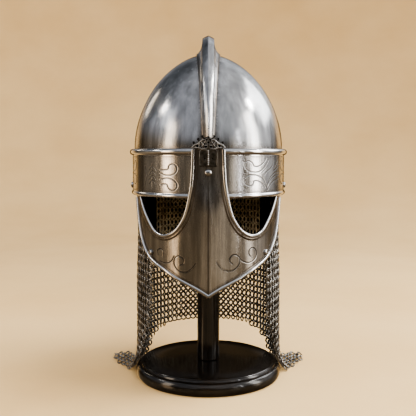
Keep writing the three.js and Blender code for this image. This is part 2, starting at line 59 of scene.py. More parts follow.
# Masked helmet on its stand. Sizes are in millimetres until a mesh is made; +Z is up and the mask faces -Y.
SCALE = 0.001
SEED = 11

BOWL = Sizes(half_width=102.6, half_depth=119.7, wall=1.9, rim_z=300, spring_z=320, rise=131,
             out_power=1.12, up_power=1.053, rings=90, rim_rings=8, segments=180)
OVAL = BOWL.half_depth / BOWL.half_width
BOWL_TOP = BOWL.spring_z + BOWL.rise
# Hollows beaten into the bowl: depth, size, how far they stretch upwards, number of waves
DENTS = [(0.06, 26, 0.45, 10), (0.10, 60, 1, 6)]
BOWL_TARNISH = Sizes(amount=0.75, band_fade=9, comb_from_z=322, comb_fade=7)

HOOP = Sizes(half_width=102.9, half_depth=120)
BAND = Sizes(thickness=2.4, face_steps=66, back_steps=4, segments=1080, sway=0.12, sway_size=70)
LOW_ROLL = Sizes(z=261.5, out=1.3, radius=2.8, steps=9)
HIGH_ROLL = Sizes(z=316.5, out=2.4, radius=4, steps=11)
BAND_TARNISH = Sizes(amount=0.8, low_z=265.2, low_from=263, high_z=311.9, high_to=314, fade=2.2)

MASK = Sizes(front=9.5, side=-0.9, blend_from=14, blend_to=60, crease=5, crease_half=30,
             crease_power=1.5, crease_top=300, crease_fade=60, nasal_top=320, tongue_top=298,
             tongue_low=264, plate=2)
EYE_RIM = Sizes(radius=2.5, out=-0.4)
LOWER_RIM = Sizes(radius=2.4, out=-0.6)
MASK_MESH = Sizes(curve_steps=14, nasal_step=0.4, column_step=0.36, least_step=0.05, rows=92, row_power=0.85,
                  back_row_step=6, back_column_step=4, rim_sides=14, dent=0.16, dent_size=34)
# The step beaten round each eye opening, and the fine line inside the lower rim
EYE_STEP = Sizes(high=0.75, near=4.2, far=5.6)
INNER_LINE = Sizes(depth=0.22, far=4, half=0.9, dirt=0.55)
# Darkening of the mask: tarnished beside the eye rims, the eye step and the lower rim; painted shade down the
# crease, over the top of the nasal and on the whole inner face
MASK_TARNISH_AND_SHADE = Sizes(eye=0.95, eye_fade=0.8, step=0.8, step_far=5.4, lower=0.85, line_fade=1.3,
                     crease_fade=1.1, crease_top=286, nasal=0.3, nasal_low=200, nasal_high=262,
                     nasal_half=24, back=0.5, rim_gap=0.1)
# Bearing from the front in degrees, and height
EYE_EDGE = np.array([(9.5, 319), (9.9, 294), (11, 270), (14, 243.5), (17.3, 229), (22.7, 217), (30.6, 211.5),
                     (39.4, 215.5), (47.5, 227.5), (55.6, 242.5), (61, 257)], float)
LOWER_EDGE = np.array([(0, 139.8), (7, 147.8), (18, 157.6), (30, 168.4), (42, 177), (49, 183.4),
                       (54.5, 191.5), (60.3, 204.5), (64.7, 222), (68, 240), (70.5, 255.5)], float)
TONGUE_END = 88

# Comb: share of the way from its foot to the top, half foot, half cap, height
COMB_SECTIONS = np.array([(0, 8, 4.6, 8.5), (.2, 9.4, 5.6, 12.5), (.5, 12.6, 7.2, 18.5), (.8, 15.4, 8, 23.5),
                          (1, 16.4, 8.2, 25.5)], float)
HALF_FOOT, HALF_CAP, CAP_HEIGHT = 1, 2, 3
COMB = Sizes(foot_psi=3.4, normal_psi=4, roof_drop=4, flank_pull=0.22, below=1.2, roof_bulge=0.09,
             bulge_power=0.8, stations=150, smoothing=9, flank_steps=18, roof_steps=9, dent=0.05,
             dent_size=20)
COMB_TARNISH = Sizes(low_fade=7, front_amount=0.75, front_low_z=332, front_high_z=352, front_half=5.5)

# Rivets: bearing, height, head radius and head height
RIVETS = {
    "nasal_rivet": (0, 291, 4.5, 3),
    "cheek_rivet_right": (44.6, 187.5, 4.2, 2.8),
    "cheek_rivet_left": (-44.6, 187.5, 4.2, 2.8),
    "temple_rivet_right": (81, 271.5, 4.2, 2.7),
    "temple_rivet_left": (-81, 271.5, 4.2, 2.7),
}
RIVET = Sizes(lift=0.1, sunk=1, shank=0.5, under=0.3, edge=0.98, dome_power=0.8, dome_steps=9,
              segments=28, dent=0.07, dent_size=4, tarnish=0.7, tarnish_high=0.9)

MAIL = Sizes(half_width=96.2, front_depth=111, back_depth=115, lead_z=262, bend_from_z=146,
             bend_power=7, floor_z=2.5, lean_from_z=215, lean_height=90, lean=2.2, top_margin=3,
             hem_margin=2.5, side_margin=1, mean_speed=1.7)
# Bearing, and the height at which the mail begins
MAIL_TOP = np.array([(50, 196), (56, 212), (61, 236), (65, 262), (70, 288), (180, 288)], float)
# Bearing, length below lead_z, share of the floor bend, turn backwards
MAIL_HEM = np.array([
    (50, 138, .2, 0), (58, 182, .45, 0), (66, 211, .7, 4), (74, 232, .88, 16), (82, 247, 1, 28),
    (88, 262, 1, 36), (93, 289, 1, 40), (98, 316, 1, 42), (103, 322, 1, 42), (108, 300, 1, 42),
    (113, 262, .94, 40), (118, 236, .78, 34), (126, 220, .48, 20), (140, 214, .15, 4), (160, 214, 0, 0),
    (180, 214, 0, 0)], float)
HEM_LENGTH, HEM_FLARE, HEM_TURN = 1, 2, 3
RING = Sizes(pitch=8, row=4.6, radius=3.9, half_wide=0.95, half_thick=0.52, tilt=26, around=12,
             sides=4, tilt_jitter=0.05, nod_jitter=0.05, place_jitter=0.09, lowest=0.15)
# The collar behind the eyes is doubled, with a thin dark sheet of painted shade between its two layers; its
# inner rings carry painted glints
COLLAR = Sizes(low_z=176, inner_from=122, inner_in=5.4, inner_wide=0.62, inner_shift=0.25, inner_margin=3)
# The backing sheet, near black as painted shade behind the collar rings, runs from its bearing round the
# back, inset from the outer rings
SHEET = Sizes(bearing=62, inset=2.75, thick=0.7, margin=2, wave=0.25, wave_size=30, columns=60, rows=16)

# Base: radius and height, first the round edge and then the small step above it
BASE_FOOT = [(98.6, 0), (100.6, 1), (102.3, 4.2), (102.7, 7.8), (102.1, 12.2), (99.9, 15.9), (97, 17.6)]
BASE_STEP = [(96.5, 17.8), (96.1, 17.9), (95.9, 18.3), (95.5, 19.9), (95.1, 20.4), (94.4, 20.6), (93.9, 20.5),
             (93.6, 20.7), (93.3, 21.2), (92.6, 21.5)]
BASE = Sizes(top=21.5, field=60, curve_steps=8, segments=160)
POST = Sizes(radius=15.5, foot_radius=14.9, foot_z=22.4, ring_z=(81.5, 200, 398), neck=(17, 401),
             head_radius=30.2, head_z=410, head_rings=60, gap=0.3, segments=72)


# Numbers
def smooth(low, high, value):
    """A soft step from 0 at low to 1 at high."""
    t = np.clip((np.asarray(value, float) - low) / (high - low), 0, 1)
    return t * t * (3 - 2 * t)


def fade(distance, length, start=0.0):
    """1 up to start, and dying away after it."""
    return np.exp(-np.maximum(distance - start, 0) / length)


def unit(vectors):
    return vectors / np.linalg.norm(vectors, axis=-1, keepdims=True)


def full_turn(count, start=0.0):
    return np.linspace(0, 2 * pi, count, endpoint=False) + start


def table(rows, x, column):
    return np.interp(x, rows[:, 0], rows[:, column])


def curve(rows, x, column):
    """A smooth curve through one column of a table."""
    x = np.asarray(x, float)
    row = np.clip(np.searchsorted(rows[:, 0], x, side="left") - 1, 0, len(rows) - 2)
    k = np.arange(len(rows))
    before = np.maximum(k - 1, 0)
    after = np.minimum(k + 1, len(rows) - 1)
    slope = (rows[after, column] - rows[before, column]) / (rows[after, 0] - rows[before, 0])
    low, high = rows[row], rows[row + 1]
    span = high[..., 0] - low[..., 0]
    t = np.clip((x - low[..., 0]) / span, 0, 1)
    rise = t * t * (3 - 2 * t)
    return (low[..., column] * (1 - rise) + high[..., column] * rise
            + span * (slope[row] * t * (1 - t) ** 2 - slope[row + 1] * t * t * (1 - t)))


def spline(points, per_span):
    """A Catmull-Rom curve through the points."""
    points = np.asarray(points, float)
    out = []
    last = len(points) - 1
    for i in range(last):
        p0, p1 = points[max(i - 1, 0)], points[i]
        p2, p3 = points[i + 1], points[min(i + 2, last)]
        t = np.linspace(0, 1, per_span, endpoint=False)[:, None]
        v0, v1 = (p2 - p0) / 2, (p3 - p1) / 2
        cubic, square = 2 * p1 - 2 * p2 + v0 + v1, -3 * p1 + 3 * p2 - 2 * v0 - v1
        out.append(cubic * t ** 3 + square * t ** 2 + v0 * t + p1)
    return np.concatenate(out + [points[-1:]])


FAR = 1e9
NEAR_LINE = 6


def distance_to(points, line):
    """Distance from each 2-D point to a polyline, exact up to NEAR_LINE away from it."""
    points = np.asarray(points, float)
    best = np.full(len(points), FAR)
    for a, b in zip(line[:-1], line[1:]):
        span = b - a
        near = (points > np.minimum(a, b) - NEAR_LINE) & (points < np.maximum(a, b) + NEAR_LINE)
        near = near.all(axis=1)
        if not near.any() or not span.any():
            continue
        rel = points[near] - a
        t = np.clip(rel @ span / (span @ span), 0, 1)[:, None]
        best[near] = np.minimum(best[near], np.linalg.norm(rel - t * span, axis=1))
    return best


def waves(points, size, seed, count=10):
    """Smooth noise from -1 to 1 made of a few sine waves about size long."""
    rng = np.random.default_rng(seed)
    total = np.zeros(len(points))
    for _ in range(count):
        way = unit(rng.normal(size=3)) * 2 * pi
        total += np.sin(points @ (way / (size * rng.uniform(0.7, 1.5))) + rng.uniform(0, 2 * pi))
    return total / sqrt(count)


# Meshes
def make_piece(name, points, faces, attributes=None, smooth_angle=None):
    mesh = bpy.data.meshes.new(name)
    mesh.from_pydata((np.asarray(points) * SCALE).tolist(), [], [tuple(f) for f in faces])
    mesh.validate()
    mesh.polygons.foreach_set("use_smooth", [True] * len(mesh.polygons))
    for key, values in (attributes or {}).items():
        layer = mesh.attributes.new(key, "FLOAT", "POINT")
        layer.data.foreach_set("value", np.asarray(values, np.float32))
    mesh.update()
    piece = bpy.data.objects.new(name, mesh)
    bpy.context.scene.collection.objects.link(piece)
    if smooth_angle is not None:
        mesh.set_sharp_from_angle(angle=radians(smooth_angle))
    return piece


def add_piece(name, points, faces, look, node, attributes=None, smooth_angle=None):
    """A piece of the visual model, in place of a node of the solids; a look is a slot and a material, and the
    slot is not used.
    """
    piece = make_piece(name, points, faces, attributes, smooth_angle)
    slot, material = look
    piece.data.materials.append(material)
    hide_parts(node)
    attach(piece, "root")


def grid_faces(rows, columns, close_rows=False, close_columns=False, start=0, flip=False):
    i, j = np.meshgrid(np.arange(rows if close_rows else rows - 1),
                       np.arange(columns if close_columns else columns - 1), indexing="ij")
    i2, j2 = (i + 1) % rows, (j + 1) % columns
    quads = np.stack([i * columns + j, i * columns + j2, i2 * columns + j2, i2 * columns + j], -1) + start
    return (quads[..., ::-1] if flip else quads).reshape(-1, 4).tolist()


def edge_loop(rows, columns):
    """Row and column of each point round the edge of a grid, in order."""
    rows_up, columns_back = list(range(1, rows)), list(range(columns - 2, -1, -1))
    row = [0] * columns + rows_up + [rows - 1] * (columns - 1) + list(range(rows - 2, 0, -1))
    column = list(range(columns)) + [columns - 1] * (rows - 1) + columns_back + [0] * (rows - 2)
    return np.array(row), np.array(column)


def join(parts):
    """(points, faces) pairs made into one."""
    points, faces, start = [], [], 0
    for p, f in parts:
        points.append(np.asarray(p, float))
        faces += [tuple(int(v) + start for v in face) for face in f]
        start += len(p)
    return np.concatenate(points), faces


def spun(profile, segments, depth_ratio=1.0):
    """A profile of radius and height turned round the axis."""
    turn = full_turn(segments)
    ring = np.stack([np.sin(turn), -np.cos(turn) * depth_ratio], -1)
    heights = np.broadcast_to(profile[:, None, 1:], (len(profile), segments, 1))
    return np.concatenate([profile[:, None, :1] * ring[None], heights], -1).reshape(-1, 3)


def turned(profile, segments, depth_ratio=1.0):
    """A closed turned form: the profile runs from the axis out and back, anticlockwise from the right."""
    profile = np.asarray(profile, float)
    inner = profile[1:-1]
    points = spun(inner, segments, depth_ratio)
    faces = grid_faces(len(inner), segments, close_columns=True)
    low, high = len(points), len(points) + 1
    points = np.concatenate([points, [[0, 0, profile[0, 1]], [0, 0, profile[-1, 1]]]])
    last = (len(inner) - 1) * segments
    for j in range(segments):
        k = (j + 1) % segments
        faces.append((low, k, j))
        faces.append((high, last + j, last + k))
    return points, faces


def sides_along(path):
    """Two side vectors that don't spin along an open path."""
    tangent = unit(np.gradient(path, axis=0))
    side = np.zeros_like(path)
    upright = abs(tangent[0, 2]) >= 0.9
    current = np.cross(tangent[0], (0, 1, 0) if upright else (0, 0, 1))
    for i, t in enumerate(tangent):
        current = side[i] = unit(current - t * (current @ t))
    return side, np.cross(tangent, side)


def tube(path, radius, sides):
    """A round bar along a path, with flat ends."""
    path = np.asarray(path, float)
    side, up = sides_along(path)
    turn = full_turn(sides)
    ring = side[:, None] * np.cos(turn)[None, :, None] + up[:, None] * np.sin(turn)[None, :, None]
    points = (path[:, None] + ring * radius).reshape(-1, 3)
    faces = grid_faces(len(path), sides, close_columns=True)
    faces.append(tuple(range(sides - 1, -1, -1)))
    last = (len(path) - 1) * sides
    faces.append(tuple(range(last, last + sides)))
    return points, faces


# Materials
class Nodes:
    """Short calls that add nodes to one tree."""

    def __init__(self, tree, coordinates):
        self.tree = tree
        self.coords = tree.nodes.new("ShaderNodeTexCoord").outputs[coordinates]

    def node(self, kind, inputs, **settings):
        made = self.tree.nodes.new("ShaderNode" + kind)
        for key, value in settings.items():
            setattr(made, key, value)
        for key, value in inputs.items():
            self.put(made.inputs[key], value)
        return made

    def put(self, socket, value):
        if isinstance(value, bpy.types.NodeSocket):
            self.tree.links.new(value, socket)
        elif socket.type == "RGBA":
            socket.default_value = (*value, 1.0)
        else:
            socket.default_value = value

    def noise(self, vector, scale, detail=3.0, rough=0.5):
        inputs = {"Vector": vector, "Scale": scale, "Detail": detail, "Roughness": rough}
        return self.node("TexNoise", inputs).outputs["Fac"]

    def levels(self, value, low, high, out_low=0.0, out_high=1.0, shape="LINEAR"):
        ranges = {"Value": value, "From Min": low, "From Max": high, "To Min": out_low, "To Max": out_high}
        return self.node("MapRange", ranges, interpolation_type=shape).outputs["Result"]

    def mix(self, amount, a, b):
        return self.node("Mix", {0: amount, 6: a, 7: b}, data_type="RGBA").outputs[2]

    def math(self, operation, a, b):
        return self.node("Math", {0: a, 1: b}, operation=operation).outputs[0]

    def vector(self, operation, a, b, output="Vector"):
        second = "Scale" if operation == "SCALE" else 1
        return self.node("VectorMath", {0: a, second: b}, operation=operation).outputs[output]


class Look(Nodes):
    """One node material on the Principled shader."""

    def __init__(self, name):
        self.material = bpy.data.materials.new(name)
        self.material.use_nodes = True
        super().__init__(self.material.node_tree, "Object")
        self.shader = self.tree.nodes["Principled BSDF"]

    def scaled(self, x, y, z):
        return self.node("Mapping", {"Vector": self.coords, "Scale": (x, y, z)}).outputs["Vector"]

    def attribute(self, name):
        return self.node("Attribute", {}, attribute_name=name).outputs["Fac"]

    def bump(self, height, strength, distance):
        inputs = {"Height": height, "Strength": strength, "Distance": distance}
        return self.node("Bump", inputs).outputs["Normal"]

    def set(self, **values):
        for key, value in values.items():
            self.put(self.shader.inputs[key.replace("_", " ")], value)


GROOVE_DIRT = (0.022, 0.018, 0.014)
# Colour of tarnished steel, also used as painted shade on the mask
TARNISH_AND_SHADE = (0.12, 0.09, 0.062)
BLACK, NEAR_BLACK = (0.006, 0.005, 0.004), (0.016, 0.012, 0.009)


def steel_look(name, light, dark, streak=1.0):
    """Brushed steel, with grooves and darkening where the mesh says so, tarnished in places and painted shade
    on the mask, and no brushing where it is plain.
    """
    look = Look(name)
    streaks = look.noise(look.scaled(60, 60, 5), 3.0, 5.0, 0.62)
    fine = look.noise(look.scaled(420, 420, 22), 2.2, 3.0, 0.6)
    blotch = look.noise(look.scaled(1, 1, 0.6), 26.0, 4.0, 0.55)
    broad = look.noise(look.scaled(22, 22, 2.5), 3.0)
    groove, tarnish, plain = (look.attribute(key) for key in ("groove", "tarnish", "plain"))
    base = look.mix(look.levels(streaks, 0.3, 0.7), dark, light)
    base = look.mix(look.levels(blotch, 0.5, 0.8, 0.0, 0.55), base, tuple(0.78 * c for c in dark))
    broad = look.levels(broad, 0.4, 0.62, 0.0, 0.55 * streak - 0.2)
    base = look.mix(broad, base, tuple(0.5 * c for c in dark))
    base = look.mix(plain, base, light)
    # Darkened where tarnished, and by painted shade on the mask
    base = look.mix(look.math("MULTIPLY", tarnish, look.levels(blotch, 0.2, 0.7, 0.6, 1.0)), base, TARNISH_AND_SHADE)
    base = look.mix(groove, base, GROOVE_DIRT)
    rough = look.math("ADD", look.levels(streaks, 0.25, 0.75, 0.10, 0.19 + 0.05 * streak),
                      look.levels(fine, 0.3, 0.7, 0.0, 0.06))
    for mark, more in ((plain, -0.06), (groove, 0.3), (tarnish, 0.16)):
        rough = look.math("ADD", rough, look.math("MULTIPLY", mark, more))
    height = look.math("ADD", look.math("MULTIPLY", streaks, 0.7), look.math("MULTIPLY", fine, 0.3))
    brushed = look.levels(plain, 0, 1, 0.2 * streak, 0.02)
    look.set(Base_Color=base, Metallic=1.0, Roughness=rough, Normal=look.bump(height, brushed, 0.0006))
    return look.material


def cast_look():
    """Blackened cast metal, rubbed bright on its high points, with painted shade: near black in its pits and
    darker on its outer curls.
    """
    look = Look("blackened_cast")
    grain = look.noise(look.coords, 900.0, 4.0, 0.6)
    patch = look.noise(look.coords, 240.0)
    base = look.mix(look.levels(patch, 0.35, 0.7), (0.07, 0.064, 0.055), (0.19, 0.18, 0.16))
    rubbed = look.math("MULTIPLY", look.attribute("rub"), look.levels(patch, 0.3, 0.55, 0.3, 1.0))
    base = look.mix(rubbed, base, (0.80, 0.81, 0.83))
    # Painted shade: near black in the pits and on the outer curls
    base = look.mix(look.attribute("pit"), base, (0.003, 0.003, 0.003))
    look.set(Base_Color=base, Metallic=0.92, Roughness=look.levels(grain, 0.3, 0.7, 0.3, 0.55),
             Normal=look.bump(grain, 0.4, 0.0004))
    return look.material


def mail_look(name, dark, light, metal):
    """Oiled mail, each ring with its own shade."""
    look = Look(name)
    patch = look.noise(look.coords, 70.0, 4.0, 0.55)
    grain = look.noise(look.coords, 700.0, 3.0, 0.6)
    base = look.mix(look.attribute("shade"), dark, light)
    base = look.mix(look.levels(patch, 0.45, 0.75, 0.0, 0.7), base, (0.05, 0.04, 0.03))
    look.set(Base_Color=base, Metallic=metal, Roughness=look.levels(grain, 0.3, 0.7, 0.2, 0.38),
             Normal=look.bump(grain, 0.25, 0.0003))
    return look.material


def shade_backing_look():
    # Near black, as painted shade behind the collar rings
    look = Look("painted_shade_backing")
    grain = look.noise(look.coords, 520.0, 4.0, 0.6)
    base = look.mix(look.levels(grain, 0.3, 0.7), BLACK, NEAR_BLACK)
    look.set(Base_Color=base, Roughness=look.levels(grain, 0.3, 0.7, 0.7, 0.9), Specular_IOR_Level=0.15,
             Normal=look.bump(grain, 0.4, 0.0005))
    return look.material


def lacquer_look():
    """Black gloss with a few specks of dust."""
    look = Look("black_gloss_lacquer")
    dust = look.noise(look.coords, 1400.0, 2.0)
    cloud = look.noise(look.coords, 18.0, 4.0, 0.55)
    base = look.mix(look.levels(cloud, 0.3, 0.7), BLACK, NEAR_BLACK)
    base = look.mix(look.levels(dust, 0.68, 0.8, 0.0, 0.35), base, (0.12, 0.10, 0.08))
    look.set(Base_Color=base, Roughness=look.levels(cloud, 0.3, 0.7, 0.12, 0.18), Specular_IOR_Level=1.0,
             Normal=look.bump(cloud, 0.02, 0.002))
    return look.material


def floor_look():
    look = Look("pale_floor")
    cloud = look.noise(look.coords, 3.0, 5.0, 0.55)
    fibre = look.noise(look.coords, 160.0, 3.0, 0.6)
    base = look.mix(look.levels(cloud, 0.3, 0.7), (0.73, 0.53, 0.28), (0.79, 0.60, 0.34))
    base = look.mix(look.levels(fibre, 0.4, 0.8, 0.0, 0.12), base, (0.66, 0.48, 0.28))
    look.set(Base_Color=base, Roughness=0.75, Specular_IOR_Level=0.25)
    return look.material


# Slot and material
STEEL = "polished_steel", steel_look("polished_steel", (0.66, 0.655, 0.65), (0.53, 0.52, 0.51))
MASK_STEEL = "polished_steel", steel_look(
    "polished_steel_mask", (0.71, 0.685, 0.65), (0.39, 0.365, 0.335), 1.3)
CAST = "dark_cast", cast_look()
MAIL_STEEL = "mail_steel", mail_look("oiled_mail", (0.32, 0.30, 0.27), (0.74, 0.71, 0.66), 1.0)
# The inner collar's rings: a lighter, mostly non-metal copy of the oiled mail, painted light that shows as
# glints inside the helmet
COLLAR_GLINT_MAIL = "mail_steel", mail_look("oiled_mail_inside_painted_glint", (0.50, 0.45, 0.37), (0.95, 0.88, 0.76), 0.2)
SHADE_BACKING = "mail_steel", shade_backing_look()
LACQUER = "black_lacquer", lacquer_look()


# Bowl and comb
def bowl_at(psi, inset=0.0):
    """Radius to the side and height of the bowl, from its spring at 0 to its top at a quarter turn."""
    radius = (BOWL.half_width - inset) * np.maximum(np.cos(psi), 0) ** BOWL.out_power
    height = BOWL.spring_z + (BOWL.rise - inset) * np.sin(psi) ** BOWL.up_power
    return radius, height


def comb_half_foot(points):
    along = np.clip(1 - np.hypot(points[:, 0], points[:, 1]) / BOWL.half_depth, 0, 1)
    return table(COMB_SECTIONS, along, HALF_FOOT)


def make_bowl():
    rim = np.linspace(BOWL.rim_z, BOWL.spring_z, BOWL.rim_rings)[:-1]
    psi = np.linspace(0, pi / 2, BOWL.rings)[:-1]

    def skin(inset):
        wall = np.stack([np.full(len(rim), BOWL.half_width - inset), rim], -1)
        return np.concatenate([wall, np.stack(bowl_at(psi, inset), -1), [(0, BOWL_TOP - inset)]])

    profile = np.concatenate([skin(BOWL.wall)[::-1], skin(0)])
    points, faces = turned(profile, BOWL.segments, OVAL)
    away = points / np.array([BOWL.half_width ** 2, BOWL.half_depth ** 2, 1])
    away[:, 2] = np.maximum(points[:, 2] - BOWL.spring_z, 0) / BOWL.rise ** 2
    away /= np.maximum(np.linalg.norm(away, axis=1, keepdims=True), 1 / FAR)
    dent = sum(deep * waves(points * np.array([1, 1, stretch]), size, SEED + k, count)
               for k, (deep, size, stretch, count) in enumerate(DENTS))
    points = points + away * dent[:, None]
    low = np.clip(1 - (points[:, 2] - BOWL.spring_z) / BOWL_TARNISH.band_fade, 0, 1)
    side = np.clip(1 - (np.abs(points[:, 0]) - comb_half_foot(points)) / BOWL_TARNISH.comb_fade, 0, 1)
    side = side * (points[:, 2] > BOWL_TARNISH.comb_from_z)
    tarnish = BOWL_TARNISH.amount * np.maximum(low ** 2, side ** 2)
    add_piece("bowl_plate", points, faces, STEEL, "skull", {"tarnish": tarnish})


def comb_line(angle):
    """The bowl's outline in the middle plane, from the front foot at 0 over the top to the back."""
    radius, z = bowl_at(np.arcsin(np.minimum(np.sin(angle), 1)))
    side = np.where(np.cos(angle) >= 0, -1.0, 1.0)
    return np.stack([np.zeros_like(radius), side * radius * OVAL, z], -1)


def comb_sections(count):
    """Outline of the comb's section at each station: across, and out from the bowl."""
    along = 1 - np.abs(1 - 2 * np.arange(count) / (count - 1))
    box = np.ones(COMB.smoothing) / COMB.smoothing

    def smoothed(column):
        padded = np.pad(table(COMB_SECTIONS, along, column), COMB.smoothing // 2, mode="edge")
        return np.convolve(padded, box, "valid")[:, None]

    half_foot, half_cap, height = (smoothed(column) for column in (HALF_FOOT, HALF_CAP, CAP_HEIGHT))
    shoulder = height - COMB.roof_drop
    t = np.linspace(0, 1, COMB.flank_steps)[None]
    flank_x = (1 - t) ** 2 * half_foot + (1 - (1 - t) ** 2) * half_cap
    flank_y = (2 * t * (1 - t) * COMB.flank_pull + t * t) * shoulder
    u = np.linspace(0, 1, COMB.roof_steps)[None, 1:]
    roof_x = half_cap * (1 - u)
    roof_y = shoulder + COMB.roof_drop * (u + COMB.roof_bulge * np.sin(u * pi) ** COMB.bulge_power)
    right_x = np.concatenate([half_foot, flank_x, roof_x], 1)
    right_y = np.concatenate([np.full((count, 1), -COMB.below), flank_y, roof_y], 1)
    x = np.concatenate([right_x, -right_x[:, -2::-1]], 1)
    y = np.concatenate([right_y, right_y[:, -2::-1]], 1)
    return x, y


def make_comb():
    count = COMB.stations
    foot, step = radians(COMB.foot_psi), radians(COMB.normal_psi)
    angle = np.linspace(foot, pi - foot, count)
    way = unit(comb_line(np.minimum(angle + step, pi)) - comb_line(np.maximum(angle - step, 0)))
    normal = np.stack([np.zeros(count), -way[:, 2], way[:, 1]], -1)
    x, y = comb_sections(count)
    columns = x.shape[1]
    points = comb_line(angle)[:, None] + normal[:, None] * y[..., None]
    points[..., 0] = x
    points = points.reshape(-1, 3)
    faces = grid_faces(count, columns, close_columns=True, flip=True)
    faces.append(tuple(range(columns)))
    last = (count - 1) * columns
    faces.append(tuple(range(last + columns - 1, last - 1, -1)))
    dent = COMB.dent * waves(points, COMB.dent_size, SEED + 2)
    points = points + dent[:, None] * np.array([1.0, 0.6, 0.6])
    low = np.clip(1 - y.reshape(-1) / COMB_TARNISH.low_fade, 0, 1)
    front = 1 - smooth(COMB_TARNISH.front_low_z, COMB_TARNISH.front_high_z, points[:, 2])
    front = front * (np.abs(points[:, 0]) < COMB_TARNISH.front_half)
    tarnish = np.maximum(low ** 1.5, COMB_TARNISH.front_amount * front)
    add_piece("comb_plate", points, faces, STEEL, "crest_comb", {"tarnish": tarnish}, 50)


# Strokes engraved on the brow band: millimetres round from the front, to the right, and height
LEAF_SCROLL = [
    [(59.9, 299.1), (57.2, 302.6), (51.7, 305.2), (47.2, 303.7), (45.9, 299.1), (48.5, 294.7), (54.1, 291.9),
     (63.4, 290.8), (72.1, 292.5), (79.3, 296.8), (84.5, 301.8), (88.5, 306.9)],
    [(59.6, 298.9), (63.1, 297.9), (69.4, 298.6), (75.5, 301.4), (80.1, 304.8), (82.8, 308.2)],
    [(59.4, 279.4), (59.1, 276.6), (55.2, 274.1), (48.2, 275.8), (45.1, 280.5), (46.7, 284.6), (51.6, 287.1),
     (60, 287.5), (69.2, 285.7), (77, 281.8), (81.2, 276.4), (84.3, 270.5)],
    [(59.4, 279.4), (64.2, 280.3), (71, 278.3), (77.1, 275), (80.4, 271.1)],
    [(85.1, 267.3), (86.1, 274.1), (89.8, 281.5), (98.1, 287.5), (108, 289.9), (117, 290)],
    [(83.2, 271.2), (87.2, 276.2), (95.5, 282.4), (106.4, 286.4), (116, 287.1)],
    [(85.8, 267.7), (91.5, 273.9), (100.1, 278.8), (113.3, 281.8)],
    [(74.6, 290.1), (79.3, 293.4), (84, 296.3)],
    [(78.6, 286.6), (84.1, 291.4), (91.2, 294.7), (97.4, 299.5), (100.8, 306)],
    [(99, 292.5), (104.7, 293.6), (111, 296.4), (116.6, 299.8)],
    [(103, 297), (108.2, 301), (112.5, 305)],
    [(109.4, 273.2), (106.5, 277.1), (109.8, 280.9), (116, 282.2)],
]
HOOKS = [
    [(64.4, 293.7), (53.8, 294.2), (51.5, 295.9), (50.9, 298.5), (48.5, 300.6), (44.7, 301.3), (41, 299.9),
     (38.8, 296.7), (39.5, 292.7), (42.7, 289.2), (48.9, 287.4), (56.4, 287.5), (63.9, 289.5)],
    [(64.5, 282.2), (58.8, 283.1), (51.8, 283.5), (45.1, 282.1), (40.4, 278.7), (38.6, 274.4), (40.7, 270.3),
     (45.1, 268.5), (49.9, 270), (52.4, 273.1), (53.9, 275.6), (58.8, 276.1), (64, 275.3)],
    [(78.4, 301.4), (78.5, 287.1), (78.7, 270.1)],
    [(94.7, 298.5), (90.4, 286.8), (95.1, 273.8)],
]
# Chevrons between the hooks and the side: millimetres round, and height above the chevron's foot
CHEVRON = [(85.8, 0), (81.8, 3.4), (78.4, 5.4), (74.8, 3.5), (71.2, 0.2)]
CHEVRON_FEET = (293.4, 287.5, 281.6, 275.7)
HOOKS += [[(x, foot + up) for x, up in CHEVRON] for foot in CHEVRON_FEET]
SCROLL_STEP = 77.0
SCROLLS = 4

# Strokes engraved on the mask: x and height, the left cheek's and the right cheek's
MASK_STROKES = [
    [(-35, 177.5), (-31.2, 179), (-30.4, 183.6), (-33.3, 187.1), (-37.9, 187.9), (-41.7, 184.4),
     (-42.6, 178.5), (-40, 172.9), (-35, 169.4), (-28.3, 168.6), (-21.5, 172.7), (-15.5, 180.3)],
    [(-42.5, 187.7), (-45.6, 181.9), (-50.8, 178.1), (-56.5, 177.7), (-61.5, 179)],
    [(-57, 185.1), (-56.5, 191.5), (-60.5, 195.1), (-64.7, 191.9), (-63.8, 186.9)],
    [(30, 178.4), (26.6, 181.7), (26.6, 186.3), (30.4, 189.8), (35.4, 189.1), (38.8, 184), (37.5, 176.9),
     (32.9, 172), (25.4, 170), (16.8, 173), (9.8, 181.6)],
    [(38.8, 185.1), (42.6, 181), (49.9, 178.3), (57.5, 180.8), (61.1, 187), (59.7, 193.5), (55.1, 196.7),
     (51.2, 193.9), (50.8, 188.9), (53, 185.6)],
]
STROKE_STEPS = 9
GROOVE = Sizes(half=0.82, depth=0.3, lip=0.05, lip_out=1.5, lip_wide=0.5)
GROOVE_DARK = Sizes(gain=1.1, most=0.75)


def band_strokes():
    """Hooks and chevrons on the left of the mask, leaf scrolls on the right and all round the back."""
    strokes = [np.array(line) * (-1, 1) for line in HOOKS]
    for side, first in ((1, 0), (-1, 1)):
        for step in range(first, SCROLLS):
            for line in LEAF_SCROLL:
                strokes.append((np.array(line) + (SCROLL_STEP * step, 0)) * (side, 1))
    return strokes


def grooves(points, strokes):
    """Depth of the nearest groove and height of the lip beside it, both from 0 to 1."""
    distance = np.full(len(points), FAR)
    for stroke in strokes:
        distance = np.minimum(distance, distance_to(points, spline(stroke, STROKE_STEPS)))
    part = distance / GROOVE.half
    return np.clip(1 - part, 0, 1), np.exp(-((part - GROOVE.lip_out) / GROOVE.lip_wide) ** 2)


def darkened(depth):
    """How dark the dirt in a groove is."""
    return np.clip(GROOVE_DARK.gain * depth, 0, GROOVE_DARK.most)


